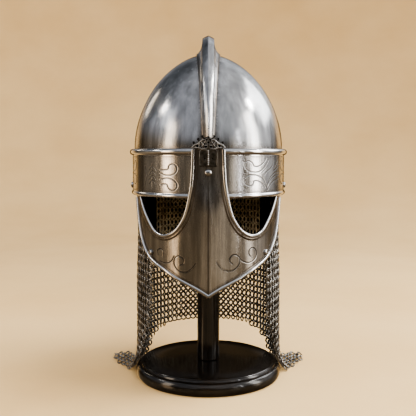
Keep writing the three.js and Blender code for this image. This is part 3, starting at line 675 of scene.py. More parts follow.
# Brow band
def band_profile():
    """Distance out from the hoop, height, and whether it lies on the engraved face."""
    def rolled(roll, from_out, to_out):
        turn = np.linspace(-acos((from_out - roll.out) / roll.radius),
                           acos((to_out - roll.out) / roll.radius), roll.steps)
        return np.stack([roll.out + roll.radius * np.cos(turn), roll.z + roll.radius * np.sin(turn)], -1)

    def upright(out, from_z, to_z, steps):
        z = np.linspace(from_z, to_z, steps)[1:-1]
        return np.stack([np.full(len(z), out), z], -1)

    low = rolled(LOW_ROLL, 0, BAND.thickness)
    high = rolled(HIGH_ROLL, BAND.thickness, 0)
    face = upright(BAND.thickness, low[-1, 1], high[0, 1], BAND.face_steps)
    back = upright(0, high[-1, 1], low[0, 1], BAND.back_steps)
    profile = np.concatenate([low, face, high, back])
    engraved = np.zeros(len(profile))
    engraved[len(low) + 1:len(low) + len(face) - 1] = 1
    return profile, engraved


def hoop_arc(phi):
    """Length round the hoop from the front to each bearing."""
    fine = np.radians(np.arange(0, 180.5, 0.5))
    speed = np.hypot(HOOP.half_width * np.cos(fine), HOOP.half_depth * np.sin(fine))
    length = np.concatenate([[0], np.cumsum((speed[1:] + speed[:-1]) / 2 * np.diff(fine))])
    return np.sign(phi) * np.interp(np.abs(phi), np.degrees(fine), length)


def make_band():
    profile, engraved = band_profile()
    count = BAND.segments
    phi = np.linspace(-180, 180, count, endpoint=False)
    out, z, face = (np.repeat(values, count) for values in (profile[:, 0], profile[:, 1], engraved))
    along, turn = np.tile(hoop_arc(phi), len(profile)), np.tile(np.radians(phi), len(profile))
    depth, lip = grooves(np.stack([along, z], -1), band_strokes())
    depth, lip = depth * face, lip * face
    out = out - GROOVE.depth * depth + GROOVE.lip * lip
    x, y = (HOOP.half_width + out) * np.sin(turn), -(HOOP.half_depth + out) * np.cos(turn)
    points = np.stack([x, y, z], -1)
    sway = BAND.sway * waves(points, BAND.sway_size, SEED + 3, 6) * (out > 1.0)
    points[:, :2] += sway[:, None] * unit(points[:, :2])
    near_low = fade(z - BAND_TARNISH.low_z, BAND_TARNISH.fade) * (z > BAND_TARNISH.low_from)
    near_high = fade(BAND_TARNISH.high_z - z, BAND_TARNISH.fade) * (z < BAND_TARNISH.high_to)
    tarnish = BAND_TARNISH.amount * np.clip(near_low + near_high, 0, 1) * face
    faces = grid_faces(len(profile), count, close_rows=True, close_columns=True)
    attributes = {"groove": darkened(depth), "tarnish": tarnish, "plain": 1 - face}
    add_piece("band_plate", points, faces, STEEL, "brow_band", attributes, 60)


# Face mask
def mask_at(phi, z, out):
    """The mask's surface at a bearing and height, moved out from it."""
    phi, z, out = np.broadcast_arrays(np.asarray(phi, float), np.asarray(z, float), np.asarray(out, float))
    bearing = np.radians(phi)
    blend = smooth(MASK.blend_from, MASK.blend_to, np.abs(phi))
    offset = MASK.front + (MASK.side - MASK.front) * blend + out
    x = (HOOP.half_width + offset) * np.sin(bearing)
    near = np.maximum(1 - np.abs(x) / MASK.crease_half, 0) ** MASK.crease_power
    crease = MASK.crease * near * smooth(0, 1, (MASK.crease_top - z) / MASK.crease_fade)
    return np.stack([x, -(HOOP.half_depth + offset) * np.cos(bearing) - crease, z], -1)


def mask_normal(phi, z):
    across = mask_at(phi + 1, z, 0) - mask_at(phi - 1, z, 0)
    up = mask_at(phi, z + 1, 0) - mask_at(phi, z - 1, 0)
    return unit(np.cross(across, up))


EYE_LINE = spline(EYE_EDGE, MASK_MESH.curve_steps)
LOWER_LINE = spline(LOWER_EDGE, MASK_MESH.curve_steps)


def mask_columns():
    """Bearing, lowest and highest height of each column, from left to right."""
    eye_from, eye_to = EYE_EDGE[0, 0], EYE_EDGE[-1, 0]
    every = np.unique(np.concatenate([
        np.arange(0, eye_from, MASK_MESH.nasal_step), EYE_LINE[:, 0],
        np.arange(eye_from + 2, TONGUE_END, MASK_MESH.column_step), [TONGUE_END]]))
    phi = [every[0]]
    for bearing in every[1:]:
        if bearing - phi[-1] > MASK_MESH.least_step:
            phi.append(bearing)
    phi = np.array(phi)
    over_eye = np.where(phi <= eye_to, np.interp(phi, EYE_LINE[:, 0], EYE_LINE[:, 1]), MASK.tongue_top)
    top = np.where(phi < eye_from, MASK.nasal_top, over_eye)
    low = np.where(phi <= LOWER_EDGE[-1, 0], np.interp(phi, LOWER_LINE[:, 0], LOWER_LINE[:, 1]),
                   MASK.tongue_low)
    return [np.concatenate([sign * half[:0:-1], half]) for sign, half in ((-1, phi), (1, low), (1, top))]


def mask_front(bearing, z):
    """Points of the outer face with its beaten and engraved relief, its dirty grooves, and its darkening:
    tarnished by the rims, and painted shade down the crease and over the top of the nasal.
    """
    x, height = mask_at(bearing, z, 0)[..., 0].reshape(-1), z.reshape(-1)
    flat = np.stack([np.abs(x), height], -1)
    depth, lip = grooves(np.stack([x, height], -1), MASK_STROKES)
    eye_far, lower_far = (distance_to(flat, mask_at(line[:, 0], line[:, 1], 0)[:, [0, 2]])
                          for line in (EYE_LINE, LOWER_LINE))
    step = EYE_STEP.high * (1 - smooth(EYE_STEP.near, EYE_STEP.far, eye_far))
    line = np.clip(1 - np.abs(lower_far - INNER_LINE.far) / INNER_LINE.half, 0, 1)
    out = step - GROOVE.depth * depth + GROOVE.lip * lip - INNER_LINE.depth * line
    points = mask_at(bearing, z, out.reshape(z.shape)).reshape(-1, 3)
    points[:, 1] += MASK_MESH.dent * waves(points * np.array([1, 1, 0.4]), MASK_MESH.dent_size, SEED + 4)
    dirt, middle = MASK_TARNISH_AND_SHADE, np.abs(x)
    tarnish = np.maximum.reduce([
        dirt.eye * fade(eye_far, dirt.eye_fade, EYE_RIM.radius + dirt.rim_gap),
        dirt.step * fade(np.abs(eye_far - dirt.step_far), dirt.line_fade),
        dirt.lower * fade(lower_far, dirt.line_fade, LOWER_RIM.radius + dirt.rim_gap),
        # Painted shade: a dark line down the crease, and the top of the nasal darker
        fade(middle, dirt.crease_fade) * (height < dirt.crease_top),
        dirt.nasal * smooth(dirt.nasal_low, dirt.nasal_high, height) * (middle < dirt.nasal_half)])
    return points, np.maximum(darkened(depth), INNER_LINE.dirt * line), np.clip(tarnish, 0, 1)


def make_mask():
    phi, low, top = mask_columns()
    rows, columns = MASK_MESH.rows, len(phi)
    t = np.linspace(0, 1, rows)[:, None] ** MASK_MESH.row_power
    z = low[None] * (1 - t) + top[None] * t
    bearing = np.broadcast_to(phi[None], z.shape)
    front, groove, tarnish = mask_front(bearing, z)
    # The back has far fewer points, and the rims hide where it joins the front
    pick_rows, pick_columns = (np.unique(np.append(np.arange(0, count, step), count - 1)) for count, step in
                               ((rows, MASK_MESH.back_row_step), (columns, MASK_MESH.back_column_step)))
    back = mask_at(bearing, z, -MASK.plate)[np.ix_(pick_rows, pick_columns)].reshape(-1, 3)
    faces = grid_faces(rows, columns)
    faces += grid_faces(len(pick_rows), len(pick_columns), start=len(front), flip=True)
    faces += zip_edges(rows, columns, pick_rows, pick_columns)
    # Painted shade over the whole inner face of the plate
    attributes = {"groove": np.append(groove, np.zeros(len(back))),
                  "tarnish": np.append(tarnish, np.full(len(back), MASK_TARNISH_AND_SHADE.back))}
    add_piece("mask_plate", np.concatenate([front, back]), faces, MASK_STEEL, "face_mask", attributes, 60)

    parts = []
    for side in (-1, 1):
        for line, rim in ((EYE_LINE, EYE_RIM), (LOWER_LINE, LOWER_RIM)):
            path = mask_at(side * line[:, 0], line[:, 1], rim.out)
            parts.append(tube(path, rim.radius, MASK_MESH.rim_sides))
    points, faces = join(parts)
    add_piece("mask_rims", points, faces, STEEL, "face_mask", {"plain": np.ones(len(points))}, 60)


def zip_edges(rows, columns, pick_rows, pick_columns):
    """Faces that close the four edges between the fine front and the coarse back that follows it."""
    row, column = edge_loop(rows, columns)
    outward = np.arange(len(row)) < columns + rows - 1

    def coarse(picked, place):
        after = np.searchsorted(picked, place, side="right") - 1
        return np.where(outward, after, np.searchsorted(picked, place))

    fine = (row * columns + column).tolist()
    back = coarse(pick_rows, row) * len(pick_columns) + coarse(pick_columns, column)
    back = (rows * columns + back).tolist()
    faces = []
    for a, b, c, d in zip(fine, fine[1:] + fine[:1], back, back[1:] + back[:1]):
        faces.append((b, a, c))
        if c != d:
            faces.append((b, c, d))
    return faces


def make_rivets():
    lift, segments = RIVET.lift, RIVET.segments
    for name, (phi, z, radius, height) in RIVETS.items():
        out = BAND.thickness - MASK.side if name.startswith("temple") else 0.0
        normal = mask_normal(phi, z)
        turn = np.linspace(0, pi / 2, RIVET.dome_steps)[:-1]
        dome = np.stack([radius * np.cos(turn) ** RIVET.dome_power, lift + height * np.sin(turn)], -1)
        foot = [(0, -RIVET.sunk), (radius * RIVET.shank, -RIVET.sunk), (radius * RIVET.edge, -RIVET.under)]
        points, faces = turned(np.concatenate([foot, dome, [(0, lift + height)]]), segments)
        side = unit(np.cross([0, 0, 1], normal))
        up = np.cross(normal, side)
        rim = np.clip(1 - points[:, 2] / RIVET.tarnish_high, 0, 1)
        points = points + RIVET.dent * waves(points, RIVET.dent_size, SEED + len(name))[:, None]
        points = mask_at(phi, z, out) + points[:, :1] * side + points[:, 1:2] * up + points[:, 2:] * normal
        add_piece(name + "_head", points, faces, STEEL, name, {"tarnish": RIVET.tarnish * rim}, 70)


# Nasal ornament. It is made flat, with -y outwards, and then bent round the mask.
ORNAMENT = Sizes(plate=2.2, stand_off=0.95, web=0.7, cell=0.45, overlap=0.55, block=1.8, voxel=0.32, relax=2,
                 half_width=24, low_z=296, high_z=337)
BEADS = Sizes(radius=1.0, pitch=2.35, low_z=300.8, high_z=319.4, steps=7, segments=12)
CURL = Sizes(radius=1.15, wire=0.62, reach=2.6, out=1.4, stem=0.7, stem_out=1.2, turn_from=-0.5,
             turn_to=1.2, steps=18)
PIT_RIM = Sizes(wider=0.35, wire=0.45, sunk=0.25, steps=20, sides=6)
STRAND = Sizes(sunk=0.1, steps=14, sides=8)
KNOT_LOOK = Sizes(rub_from=-0.1, rub_to=0.6, pit_from=0.15, pit_to=0.75, outer_half=22, outer_high=16.5,
                  outer_mid_z=316, outer_from_z=321, outer_dark=0.75)
# Right half of the outline: x and height
ORNAMENT_OUTLINE = [(9.4, 298), (10.6, 299), (10.6, 317), (13.5, 320.2), (20.5, 320.4), (21.5, 322.6),
                    (14, 327.6), (7.5, 331.4), (0, 335)]
# Right half: pits (x, height, radius), raised strands (radius and path) and outer curls (x, height, lean).
# The last pit has no raised rim.
ORNAMENT_PITS = [(0.6, 327.4, 1.6), (5.4, 326.2, 1.7), (13.2, 323.2, 1.7), (3.0, 322.6, 1.7),
                 (8.6, 322.6, 1.5), (2.2, 331.0, 1.3), (17.3, 321.9, 0.9), (9.6, 327.4, 1.2),
                 (4.5, 307.8, 1.0)]
ORNAMENT_STRANDS = [
    (0.62, [(20.6, 321.2), (16.6, 324.8), (12.6, 326.2), (7.6, 330.4), (4.2, 330.9), (0.8, 333.8)]),
    (0.5, [(19.4, 320.4), (14.2, 321.6), (8.2, 319.9), (2, 320.8)]),
    (0.5, [(1.0, 324.6), (4.4, 323.8), (9.6, 329.0)]),
    (0.5, [(10.8, 320.6), (7.0, 324.2), (3.4, 329.8)]),
    (0.5, [(15.6, 320.8), (12.0, 322.0), (10.6, 327.4)]),
    (0.4, [(10.1, 299.6), (10.1, 317.4), (2.0, 318.2)]),
]
ORNAMENT_CURLS = [(15.6, 325.4, 0.8), (10.6, 329.2, 0.55), (5.6, 332.4, 0.5)]
BLOCK = np.array([(x, y, z) for y in (0, 1) for x, z in ((-1, -1), (1, -1), (1, 1), (-1, 1))], float)
BLOCK_FACES = [(0, 1, 2, 3), (7, 6, 5, 4), (0, 4, 5, 1), (1, 5, 6, 2), (2, 6, 7, 3), (3, 7, 4, 0)]


def ornament_blocks():
    """The plate as a fine grid of blocks inside the outline, thin where a pit is sunk into it."""
    right = np.array(ORNAMENT_OUTLINE, float)
    outline = np.concatenate([right, (right * (-1, 1))[::-1]])
    cell = ORNAMENT.cell
    x, z = np.meshgrid(np.arange(-ORNAMENT.half_width, ORNAMENT.half_width, cell),
                       np.arange(ORNAMENT.low_z, ORNAMENT.high_z, cell), indexing="ij")
    inside = np.zeros(x.shape, bool)
    for a, b in zip(outline, np.roll(outline, -1, axis=0)):
        if a[1] != b[1]:
            reach = (b[0] - a[0]) * (z - a[1]) / (b[1] - a[1]) + a[0]
            inside ^= ((a[1] > z) != (b[1] > z)) & (x < reach)
    pitted = np.zeros(x.shape, bool)
    for pit_x, pit_z, radius in ORNAMENT_PITS:
        for side in (-1, 1):
            pitted |= np.hypot(x - side * pit_x, z - pit_z) < radius
    half = cell * ORNAMENT.overlap
    front = np.where(pitted, -ORNAMENT.web, -ORNAMENT.block)
    return [(BLOCK * (half, face, half) + (u, 0, v), BLOCK_FACES)
            for u, v, face in zip(x[inside], z[inside], front[inside])]


def ornament_relief(side):
    """Strands, the rims of the pits and the outer curls of one half."""
    parts = []
    for radius, strand in ORNAMENT_STRANDS:
        line = spline([(side * x, z) for x, z in strand], STRAND.steps)
        path = np.stack([line[:, 0], np.full(len(line), STRAND.sunk - ORNAMENT.plate), line[:, 1]], -1)
        parts.append(tube(path, radius, STRAND.sides))
    for x, z, radius in ORNAMENT_PITS[:-1]:
        turn = np.linspace(0, 2 * pi, PIT_RIM.steps)
        wide = radius + PIT_RIM.wider
        ring = np.stack([side * x + wide * np.cos(turn), 0 * turn + PIT_RIM.sunk - ORNAMENT.plate,
                         z + wide * np.sin(turn)], -1)
        parts.append(tube(ring, PIT_RIM.wire, PIT_RIM.sides))
    turn = pi * np.linspace(CURL.turn_from, CURL.turn_to, CURL.steps)
    for x, z, lean in ORNAMENT_CURLS:
        centre = np.array([side * (x + CURL.reach * sin(lean)), -CURL.out, z + CURL.reach * cos(lean)])
        ring = np.stack([side * np.sin(turn + lean), 0 * turn, -np.cos(turn + lean)], -1)
        parts.append(tube(centre + CURL.radius * ring, CURL.wire, STRAND.sides))
        parts.append(tube(np.array([(side * x, -CURL.stem_out, z), centre]), CURL.stem, STRAND.sides))
    return parts


def ornament_beads():
    """The beaded ridge down the middle of the small plate."""
    turn = np.linspace(-pi / 2, pi / 2, BEADS.steps)
    points, faces = turned(BEADS.radius * np.stack([np.cos(turn), np.sin(turn)], -1), BEADS.segments)
    return [(points + (0, -ORNAMENT.plate - STRAND.sunk, z), faces)
            for z in np.arange(BEADS.low_z, BEADS.high_z, BEADS.pitch)]


def fused(parts):
    """Points and faces of one skin round all the parts, made by a voxel remesh."""
    blank = make_piece("knot_parts", *join(parts))
    remesh = blank.modifiers.new("fuse", "REMESH")
    remesh.mode = "VOXEL"
    remesh.voxel_size = ORNAMENT.voxel * SCALE
    skin = bpy.data.meshes.new_from_object(blank.evaluated_get(bpy.context.evaluated_depsgraph_get()))
    points = np.empty(len(skin.vertices) * 3)
    skin.vertices.foreach_get("co", points)
    faces = [tuple(face.vertices) for face in skin.polygons]
    bpy.data.batch_remove([blank, blank.data, skin])
    return points.reshape(-1, 3) / SCALE, faces


def relaxed(points, faces, times):
    """Each point moved halfway to the mean of its neighbours."""
    edges = np.array([(face[k], face[(k + 1) % len(face)]) for face in faces for k in range(len(face))])
    edges = np.concatenate([edges, edges[:, ::-1]])
    count = np.bincount(edges[:, 0], minlength=len(points))[:, None]
    for _ in range(times):
        near = points[edges[:, 1]]
        total = np.stack([np.bincount(edges[:, 0], near[:, k], len(points)) for k in range(3)], -1)
        points = (points + total / np.maximum(count, 1)) / 2
    return points


def make_ornament():
    points, faces = fused(ornament_blocks() + ornament_relief(-1) + ornament_relief(1) + ornament_beads())
    points = relaxed(points, faces, ORNAMENT.relax)
    x, out, z = points[:, 0], -points[:, 1], points[:, 2]
    look = KNOT_LOOK
    rub = smooth(look.rub_from, look.rub_to, out - ORNAMENT.plate)
    # Painted shade: the sunk pits are made near black
    pit = 1 - smooth(look.pit_from, look.pit_to, out - ORNAMENT.web)
    # The curls past this ellipse are painted dark too, with the same shade
    outer = np.hypot(x / look.outer_half, (z - look.outer_mid_z) / look.outer_high) > 1
    pit = np.maximum(pit, look.outer_dark * (outer & (z > look.outer_from_z)))
    depth = HOOP.half_depth + MASK.front + ORNAMENT.stand_off + out
    points[:, 1] = -depth * np.sqrt(1 - (x / (HOOP.half_width + MASK.front)) ** 2)
    add_piece("nasal_knot", points, faces, CAST, "nasal_ornament", {"rub": rub, "pit": pit})


# Mail. The sheet bends outwards on the floor along a curve of which these are the steps.
BEND_STEPS = 400
BEND_ALONG = np.linspace(0, 1, BEND_STEPS + 1)
BEND_TURN = (pi / 2) * ((np.arange(BEND_STEPS) + 0.5) / BEND_STEPS) ** MAIL.bend_power
BEND_ACROSS = np.concatenate([[0], np.cumsum(np.sin(BEND_TURN))]) / BEND_STEPS
BEND_DOWN = np.concatenate([[0], np.cumsum(np.cos(BEND_TURN))]) / BEND_STEPS
BEND_LENGTH = (MAIL.bend_from_z - MAIL.floor_z) / BEND_DOWN[-1]


def mail_at(phi, length):
    """The sheet's place at a bearing and a length down from lead_z."""
    bearing, flat = np.radians(phi), np.abs(phi)
    width, depth = MAIL.half_width, np.where(flat < 90, MAIL.front_depth, MAIL.back_depth)
    normal = unit(np.stack([np.sin(bearing) / width, -np.cos(bearing) / depth], -1))
    turn = np.radians(curve(MAIL_HEM, flat, HEM_TURN)) * np.sign(phi)
    away = np.stack([normal[..., 0] * np.cos(turn) - normal[..., 1] * np.sin(turn),
                     normal[..., 0] * np.sin(turn) + normal[..., 1] * np.cos(turn)], -1)
    flare = curve(MAIL_HEM, flat, HEM_FLARE)
    plumb = MAIL.lead_z - MAIL.bend_from_z
    bent = np.clip((length - plumb) / BEND_LENGTH, 0, 1)
    level = np.maximum(length - plumb - BEND_LENGTH, 0)
    out = flare * BEND_LENGTH * np.interp(bent, BEND_ALONG, BEND_ACROSS) + level
    fall = BEND_LENGTH * (bent * (1 - flare) + np.interp(bent, BEND_ALONG, BEND_DOWN) * flare)
    z = MAIL.lead_z - np.minimum(length, plumb) - fall
    lean = MAIL.lean * smooth(0, 1, (MAIL.lean_from_z - z) / MAIL.lean_height)
    plan = np.stack([width * np.sin(bearing), -depth * np.cos(bearing)], -1)
    plan = plan + normal * lean[..., None] + away * out[..., None]
    return np.concatenate([plan, z[..., None]], -1)


def mail_layout(inner):
    """Bearing, length down and row parity of every ring in a layer, and the millimetres to a degree there."""
    fine = np.linspace(0, 180, 1801)
    rail = mail_at(fine, np.zeros_like(fine))
    arc = np.concatenate([[0], np.cumsum(np.linalg.norm(np.diff(rail, axis=0), axis=1))])
    columns = round(2 * arc[-1] / RING.pitch)
    pitch = 2 * arc[-1] / columns
    first = MAIL.lead_z - MAIL_TOP[-1, 1] + MAIL.top_margin + (RING.row / 2 if inner else 0)
    shift = COLLAR.inner_shift if inner else 0
    side = COLLAR.inner_from if inner else MAIL_HEM[0, 0] + MAIL.side_margin
    lowest = COLLAR.low_z + COLLAR.inner_margin if inner else -FAR
    places = []
    for row in range(ceil((MAIL_HEM[:, HEM_LENGTH].max() - first) / RING.row) + 1):
        length = first + row * RING.row
        z = MAIL.lead_z - length
        around = -arc[-1] + (np.arange(columns) + 0.5 * (row % 2) + shift) * pitch
        phi = np.sign(around) * np.interp(np.abs(around), arc, fine)
        flat = np.abs(phi)
        keep = (flat >= side) & (length <= curve(MAIL_HEM, flat, HEM_LENGTH) - MAIL.hem_margin)
        keep &= (z <= table(MAIL_TOP, flat, 1) - MAIL.hem_margin) & (z >= lowest)
        places += [(bearing, length, row % 2) for bearing in phi[keep]]
    places = np.array(places)
    return places, np.interp(np.abs(places[:, 0]), fine[:-1], np.diff(arc) / np.diff(fine))


def mail_frame(phi, length, speed):
    """Place of the sheet, and its across, down and outward ways."""
    step = 0.5
    across = (mail_at(phi + step / speed, length) - mail_at(phi - step / speed, length)) / (2 * step)
    down = (mail_at(phi, length + step) - mail_at(phi, length - step)) / (2 * step)
    return mail_at(phi, length), across, down, unit(np.cross(down, across))


def mail_layer(rng, inner):
    """Points of every ring of one layer, the bearing and the shade of each ring."""
    places, speed = mail_layout(inner)
    count = len(places)
    phi = places[:, 0]
    centre, across, down, normal = mail_frame(phi, places[:, 1], speed)
    if inner:
        centre = centre - normal * COLLAR.inner_in
    tilt = np.radians(RING.tilt) * (1 - 2 * places[:, 2]) + rng.normal(0, RING.tilt_jitter, count)
    nod = rng.normal(0, RING.nod_jitter, count)[:, None]
    t = full_turn(RING.around)[:, None]
    s = full_turn(RING.sides, pi / 4)[None]
    # Each ring in its own plane first: across, down and through the sheet; its wire is flattened
    corner = sqrt(2)
    radial = RING.radius + corner * (COLLAR.inner_wide if inner else RING.half_wide) * np.cos(s)
    flat_a, flat_d = ((radial * way(t)).reshape(-1) for way in (np.cos, np.sin))
    flat_n = np.tile(corner * RING.half_thick * np.sin(s), (len(t), 1)).reshape(-1)
    c, n = np.cos(tilt)[:, None], np.sin(tilt)[:, None]
    a, w = flat_a * c - flat_n * n, flat_a * n + flat_n * c
    d, w = flat_d * np.cos(nod) - w * np.sin(nod), flat_d * np.sin(nod) + w * np.cos(nod)
    centre = centre + rng.normal(0, RING.place_jitter, (count, 3))
    points = centre[:, None] + a[..., None] * across[:, None] + d[..., None] * down[:, None]
    points = points + w[..., None] * normal[:, None]
    points[..., 2] = np.maximum(points[..., 2], RING.lowest)
    return points, phi, rng.uniform(0, 1, count)


def ring_piece(name, points, shade, look):
    count = RING.around * RING.sides
    ring_faces = np.array(grid_faces(RING.around, RING.sides, close_rows=True, close_columns=True))
    faces = (ring_faces[None] + (np.arange(len(points)) * count)[:, None, None]).reshape(-1, 4)
    shades = {"shade": np.repeat(shade, count)}
    add_piece(name, points.reshape(-1, 3), faces.tolist(), look, "mail_curtain", shades)


def make_mail():
    rng = np.random.default_rng(SEED)
    points, phi, shade = mail_layer(rng, False)
    zones = {"mail_left": phi < -100, "mail_right": phi > 100, "mail_front_left": (phi >= -100) & (phi < 0),
             "mail_front_right": (phi <= 100) & (phi > 0)}
    for name, zone in zones.items():
        ring_piece(name, points[zone], shade[zone], MAIL_STEEL)
    points, _, shade = mail_layer(rng, True)
    # The inner layer gets the painted glint
    ring_piece("mail_collar", points, shade, COLLAR_GLINT_MAIL)


def make_shade_backing():
    """A thin dark sheet between the two layers of the collar: painted shade behind the rings."""
    half = np.linspace(SHEET.bearing, 180, SHEET.columns)
    bearing = np.concatenate([half, -half[-2::-1]])
    t = np.linspace(0, 1, SHEET.rows)[:, None]
    z = COLLAR.low_z * (1 - t) + (table(MAIL_TOP, np.abs(bearing), 1) - SHEET.margin) * t
    around = np.broadcast_to(bearing, z.shape).reshape(-1)
    centre, _, _, normal = mail_frame(around, MAIL.lead_z - z.reshape(-1), MAIL.mean_speed)
    wavy = SHEET.wave * waves(centre, SHEET.wave_size, SEED + 6)[:, None]
    outer = centre - normal * (SHEET.inset + wavy)
    inner = outer - normal * SHEET.thick
    rows, columns = z.shape
    faces = grid_faces(rows, columns) + grid_faces(rows, columns, start=len(outer), flip=True)
    row, column = edge_loop(rows, columns)
    edge = row * columns + column
    after = np.roll(edge, -1)
    faces += np.stack([after, edge, edge + len(outer), after + len(outer)], -1).tolist()
    add_piece("mail_shade_backing", np.concatenate([outer, inner]), faces, SHADE_BACKING, "mail_curtain", None, 50)


def make_stand():
    radius, height = bowl_at(np.linspace(0, pi / 2, POST.head_rings)[:-1], BOWL.wall + POST.gap)
    under_bowl = radius < POST.head_radius
    head = np.stack([radius[under_bowl], height[under_bowl]], -1)
    low_z = BASE.top + POST.gap
    post = [(0, low_z), (POST.foot_radius, low_z), (POST.radius, POST.foot_z)]
    post += [(POST.radius, z) for z in POST.ring_z] + [POST.neck, (head[0, 0], POST.head_z)]
    profile = np.concatenate([post, head, [(0, BOWL_TOP - BOWL.wall - POST.gap)]])
    add_piece("post_turned", *turned(profile, POST.segments), LACQUER, "stand_post", None, 40)

    foot = spline(BASE_FOOT, BASE.curve_steps)
    profile = np.concatenate([[(0, 0)], foot, BASE_STEP, [(BASE.field, BASE.top), (0, BASE.top)]])
    add_piece("base_turned", *turned(profile, BASE.segments), LACQUER, "stand_base", None, 40)


make_bowl()
make_comb()
make_band()
make_mask()
make_rivets()
make_ornament()
make_mail()
make_shade_backing()
make_stand()


# Stage, lights and camera, in metres
FLOOR_RINGS = (0.2, 0.35, 0.5)
BACKDROP = Sizes(flat=(0.5, 0.9, 1.4), bend=2.2, steps=16, segments=96)
CAMERA = Sizes(lens=57.1, sensor=36.0, place=(-0.0004, -0.9294, 0.3127), down=4.61, near=0.01)


def stage_part(name, profile, look, has_middle):
    """A floor or wall turned round the axis, seen by the camera but not by polished metal."""
    segments = BACKDROP.segments
    points = spun(np.array(profile), segments)
    faces = grid_faces(len(profile), segments, close_columns=True, flip=True)
    if has_middle:
        middle = len(points)
        points = np.concatenate([points, [[0, 0, 0]]])
        faces += [(middle, j, (j + 1) % segments) for j in range(segments)]
    part = make_piece(name, points / SCALE, faces)
    part.data.materials.append(look)
    part.visible_glossy = False


def make_stage():
    look = floor_look()
    stage_part("floor", [(radius, 0) for radius in FLOOR_RINGS], look, True)
    edge, bend = BACKDROP.flat[-1], BACKDROP.bend
    sweep = [(radius, 0) for radius in BACKDROP.flat]
    sweep += [(edge + bend * cos(a), bend + bend * sin(a))
              for a in np.linspace(-pi / 2, 0, BACKDROP.steps)]
    stage_part("backdrop", sweep, look, False)


# Layers of the room that the metal mirrors, each over the last: axis, where it begins and is full, colour
ROOM_FRONT = (0.085, 0.075, 0.062)
ROOM_LAYERS = [
    ("Y", -0.85, -0.4, (0.19, 0.158, 0.122)),
    ("Y", 0.3, 0.6, (0.105, 0.078, 0.05)),
    ("Z", -0.06, -0.15, (0.32, 0.25, 0.172)),
    ("Z", -0.3, -0.65, (0.17, 0.12, 0.075)),
    ("Y", 0.70, 0.84, (0.95, 0.62, 0.29)),
    ("Y", 0.89, 0.95, (0.035, 0.025, 0.015)),
]
CEILING = Sizes(left=(0.36, 0.375, 0.415), right=(0.60, 0.62, 0.65), from_x=-0.7, to_x=0.5, from_z=0.09,
                to_z=0.37)
# Soft patches of the room: bearing from the front, height angle, inner and outer radius in degrees, colour
GLOWS = [
    (-142, 38, 12, 34, (0.13, 0.14, 0.155)),
    (100, 32, 12, 50, (0.66, 0.67, 0.69)),
    (180, 18, 6, 14, (0.18, 0.125, 0.07)),
    (0, 14, 7, 20, (0.095, 0.084, 0.068)),
    (-66, -6, 6, 14, (1.45, 1.05, 0.68)),
    (82, -4, 5, 13, (1.5, 1.34, 1.16)),
    (44, -6, 4, 12, (0.50, 0.43, 0.34)),
    (-32, -6, 3, 9, (0.36, 0.29, 0.21)),
]
# Upright streaks of lighter and darker room
CLUTTER = Sizes(squash=(1, 1, 0.12), scale=9.0, least=0.68, most=1.32)


def make_world():
    """A dim room by direction alone: dark in front, warm behind, cool above."""
    world = bpy.data.worlds.new("studio")
    bpy.context.scene.world = world
    world.use_nodes = True
    sky = Nodes(world.node_tree, "Generated")
    axes = sky.node("SeparateXYZ", {0: sky.coords}).outputs

    def over(value, low, high, below, above):
        return sky.mix(sky.levels(value, low, high, shape="SMOOTHSTEP"), below, above)

    room = ROOM_FRONT
    for axis, low, high, color in ROOM_LAYERS:
        room = over(axes[axis], low, high, room, color)
    ceiling = over(axes["X"], CEILING.from_x, CEILING.to_x, CEILING.left, CEILING.right)
    room = over(axes["Z"], CEILING.from_z, CEILING.to_z, room, ceiling)
    for azimuth, height, inner, outer, color in GLOWS:
        az, el = radians(azimuth), radians(height)
        middle = (cos(el) * sin(az), -cos(el) * cos(az), sin(el))
        toward = sky.vector("DOT_PRODUCT", sky.coords, middle, "Value")
        room = over(toward, cos(radians(outer)), cos(radians(inner)), room, color)
    noise = sky.noise(sky.vector("MULTIPLY", sky.coords, CLUTTER.squash), CLUTTER.scale)
    level = sky.levels(noise, 0.32, 0.68, CLUTTER.least, CLUTTER.most, "SMOOTHSTEP")
    sky.put(sky.tree.nodes["Background"].inputs["Color"], sky.vector("SCALE", room, level))


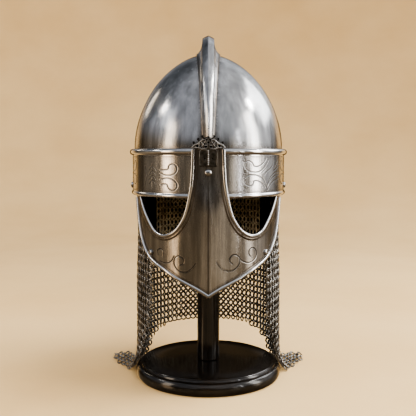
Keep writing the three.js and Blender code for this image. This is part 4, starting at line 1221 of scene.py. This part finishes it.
# Name, place, target, size, radiance and colour; the last column is whether polished metal sees the light
LIGHTS = [
    ("key", (1.40, 0.85, 1.30), (0, 0, 0.35), (1.0, 0.85), 2.1, (0.97, 0.985, 1.0), True),
    ("key_core", (1.30, 0.12, 1.35), (0, 0, 0.2), (0.20, 0.24), 14.0, (1.0, 0.99, 0.97), True),
    ("window_right", (1.57, -0.33, 0.75), (0, 0, 0.35), (0.42, 1.25), 3.0, (1.0, 0.975, 0.94), True),
    ("edge_right", (1.26, -0.985, 0.52), (0, 0, 0.25), (0.05, 0.95), 5.0, (0.98, 0.98, 1.0), True),
    ("strip_right", (1.05, -1.20, 0.40), (0, 0, 0.3), (0.14, 0.7), 0.6, (1.0, 0.93, 0.84), True),
    ("window_left", (-1.46, -0.65, 0.62), (0, 0, 0.3), (0.42, 1.05), 1.8, (1.0, 0.83, 0.64), True),
    ("left_core", (-1.30, 0.14, 1.22), (0, 0, 0.2), (0.18, 0.22), 6.0, (1.0, 0.95, 0.88), True),
    ("spot_left", (-1.13, 1.09, 1.02), (0, 0, 0.38), (0.16, 0.40), 2.4, (1.0, 0.86, 0.68), True),
    ("soft_left", (-1.52, -0.32, 1.20), (0, 0, 0.38), (0.7, 0.5), 0.6, (0.93, 0.96, 1.0), True),
    ("flood", (1.25, -0.3, 2.4), (0, 0, 0), (1.2, 1.2), 7.5, (1.0, 0.96, 0.89), False),
    ("wash", (0.5, -3.0, 1.25), (0, 0.5, 0.3), (2.0, 1.6), 8.0, (1.0, 0.95, 0.87), False),
]


def area_light(name, place, target, size, radiance, color, in_mirrors):
    """A rectangle of even radiance; Blender's area energy is 4 times radiance times area."""
    data = bpy.data.lights.new(name, "AREA")
    data.shape = "RECTANGLE"
    data.size, data.size_y = size
    data.energy = 4 * size[0] * size[1] * radiance
    data.color = color
    lamp = bpy.data.objects.new(name, data)
    bpy.context.scene.collection.objects.link(lamp)
    lamp.location = place
    lamp.visible_glossy = in_mirrors
    lamp.rotation_euler = (Vector(target) - Vector(place)).to_track_quat("-Z", "Y").to_euler()


def make_camera():
    camera = bpy.data.objects.new("camera", bpy.data.cameras.new("camera"))
    bpy.context.scene.collection.objects.link(camera)
    camera.data.lens = CAMERA.lens
    camera.data.sensor_width = CAMERA.sensor
    camera.data.clip_start = CAMERA.near
    camera.location = CAMERA.place
    camera.rotation_euler = (radians(90 - CAMERA.down), 0, 0)
    bpy.context.scene.camera = camera


make_stage()
make_world()
for row in LIGHTS:
    area_light(*row)
bpy.context.scene.view_settings.look = "AgX - High Contrast"
make_camera()
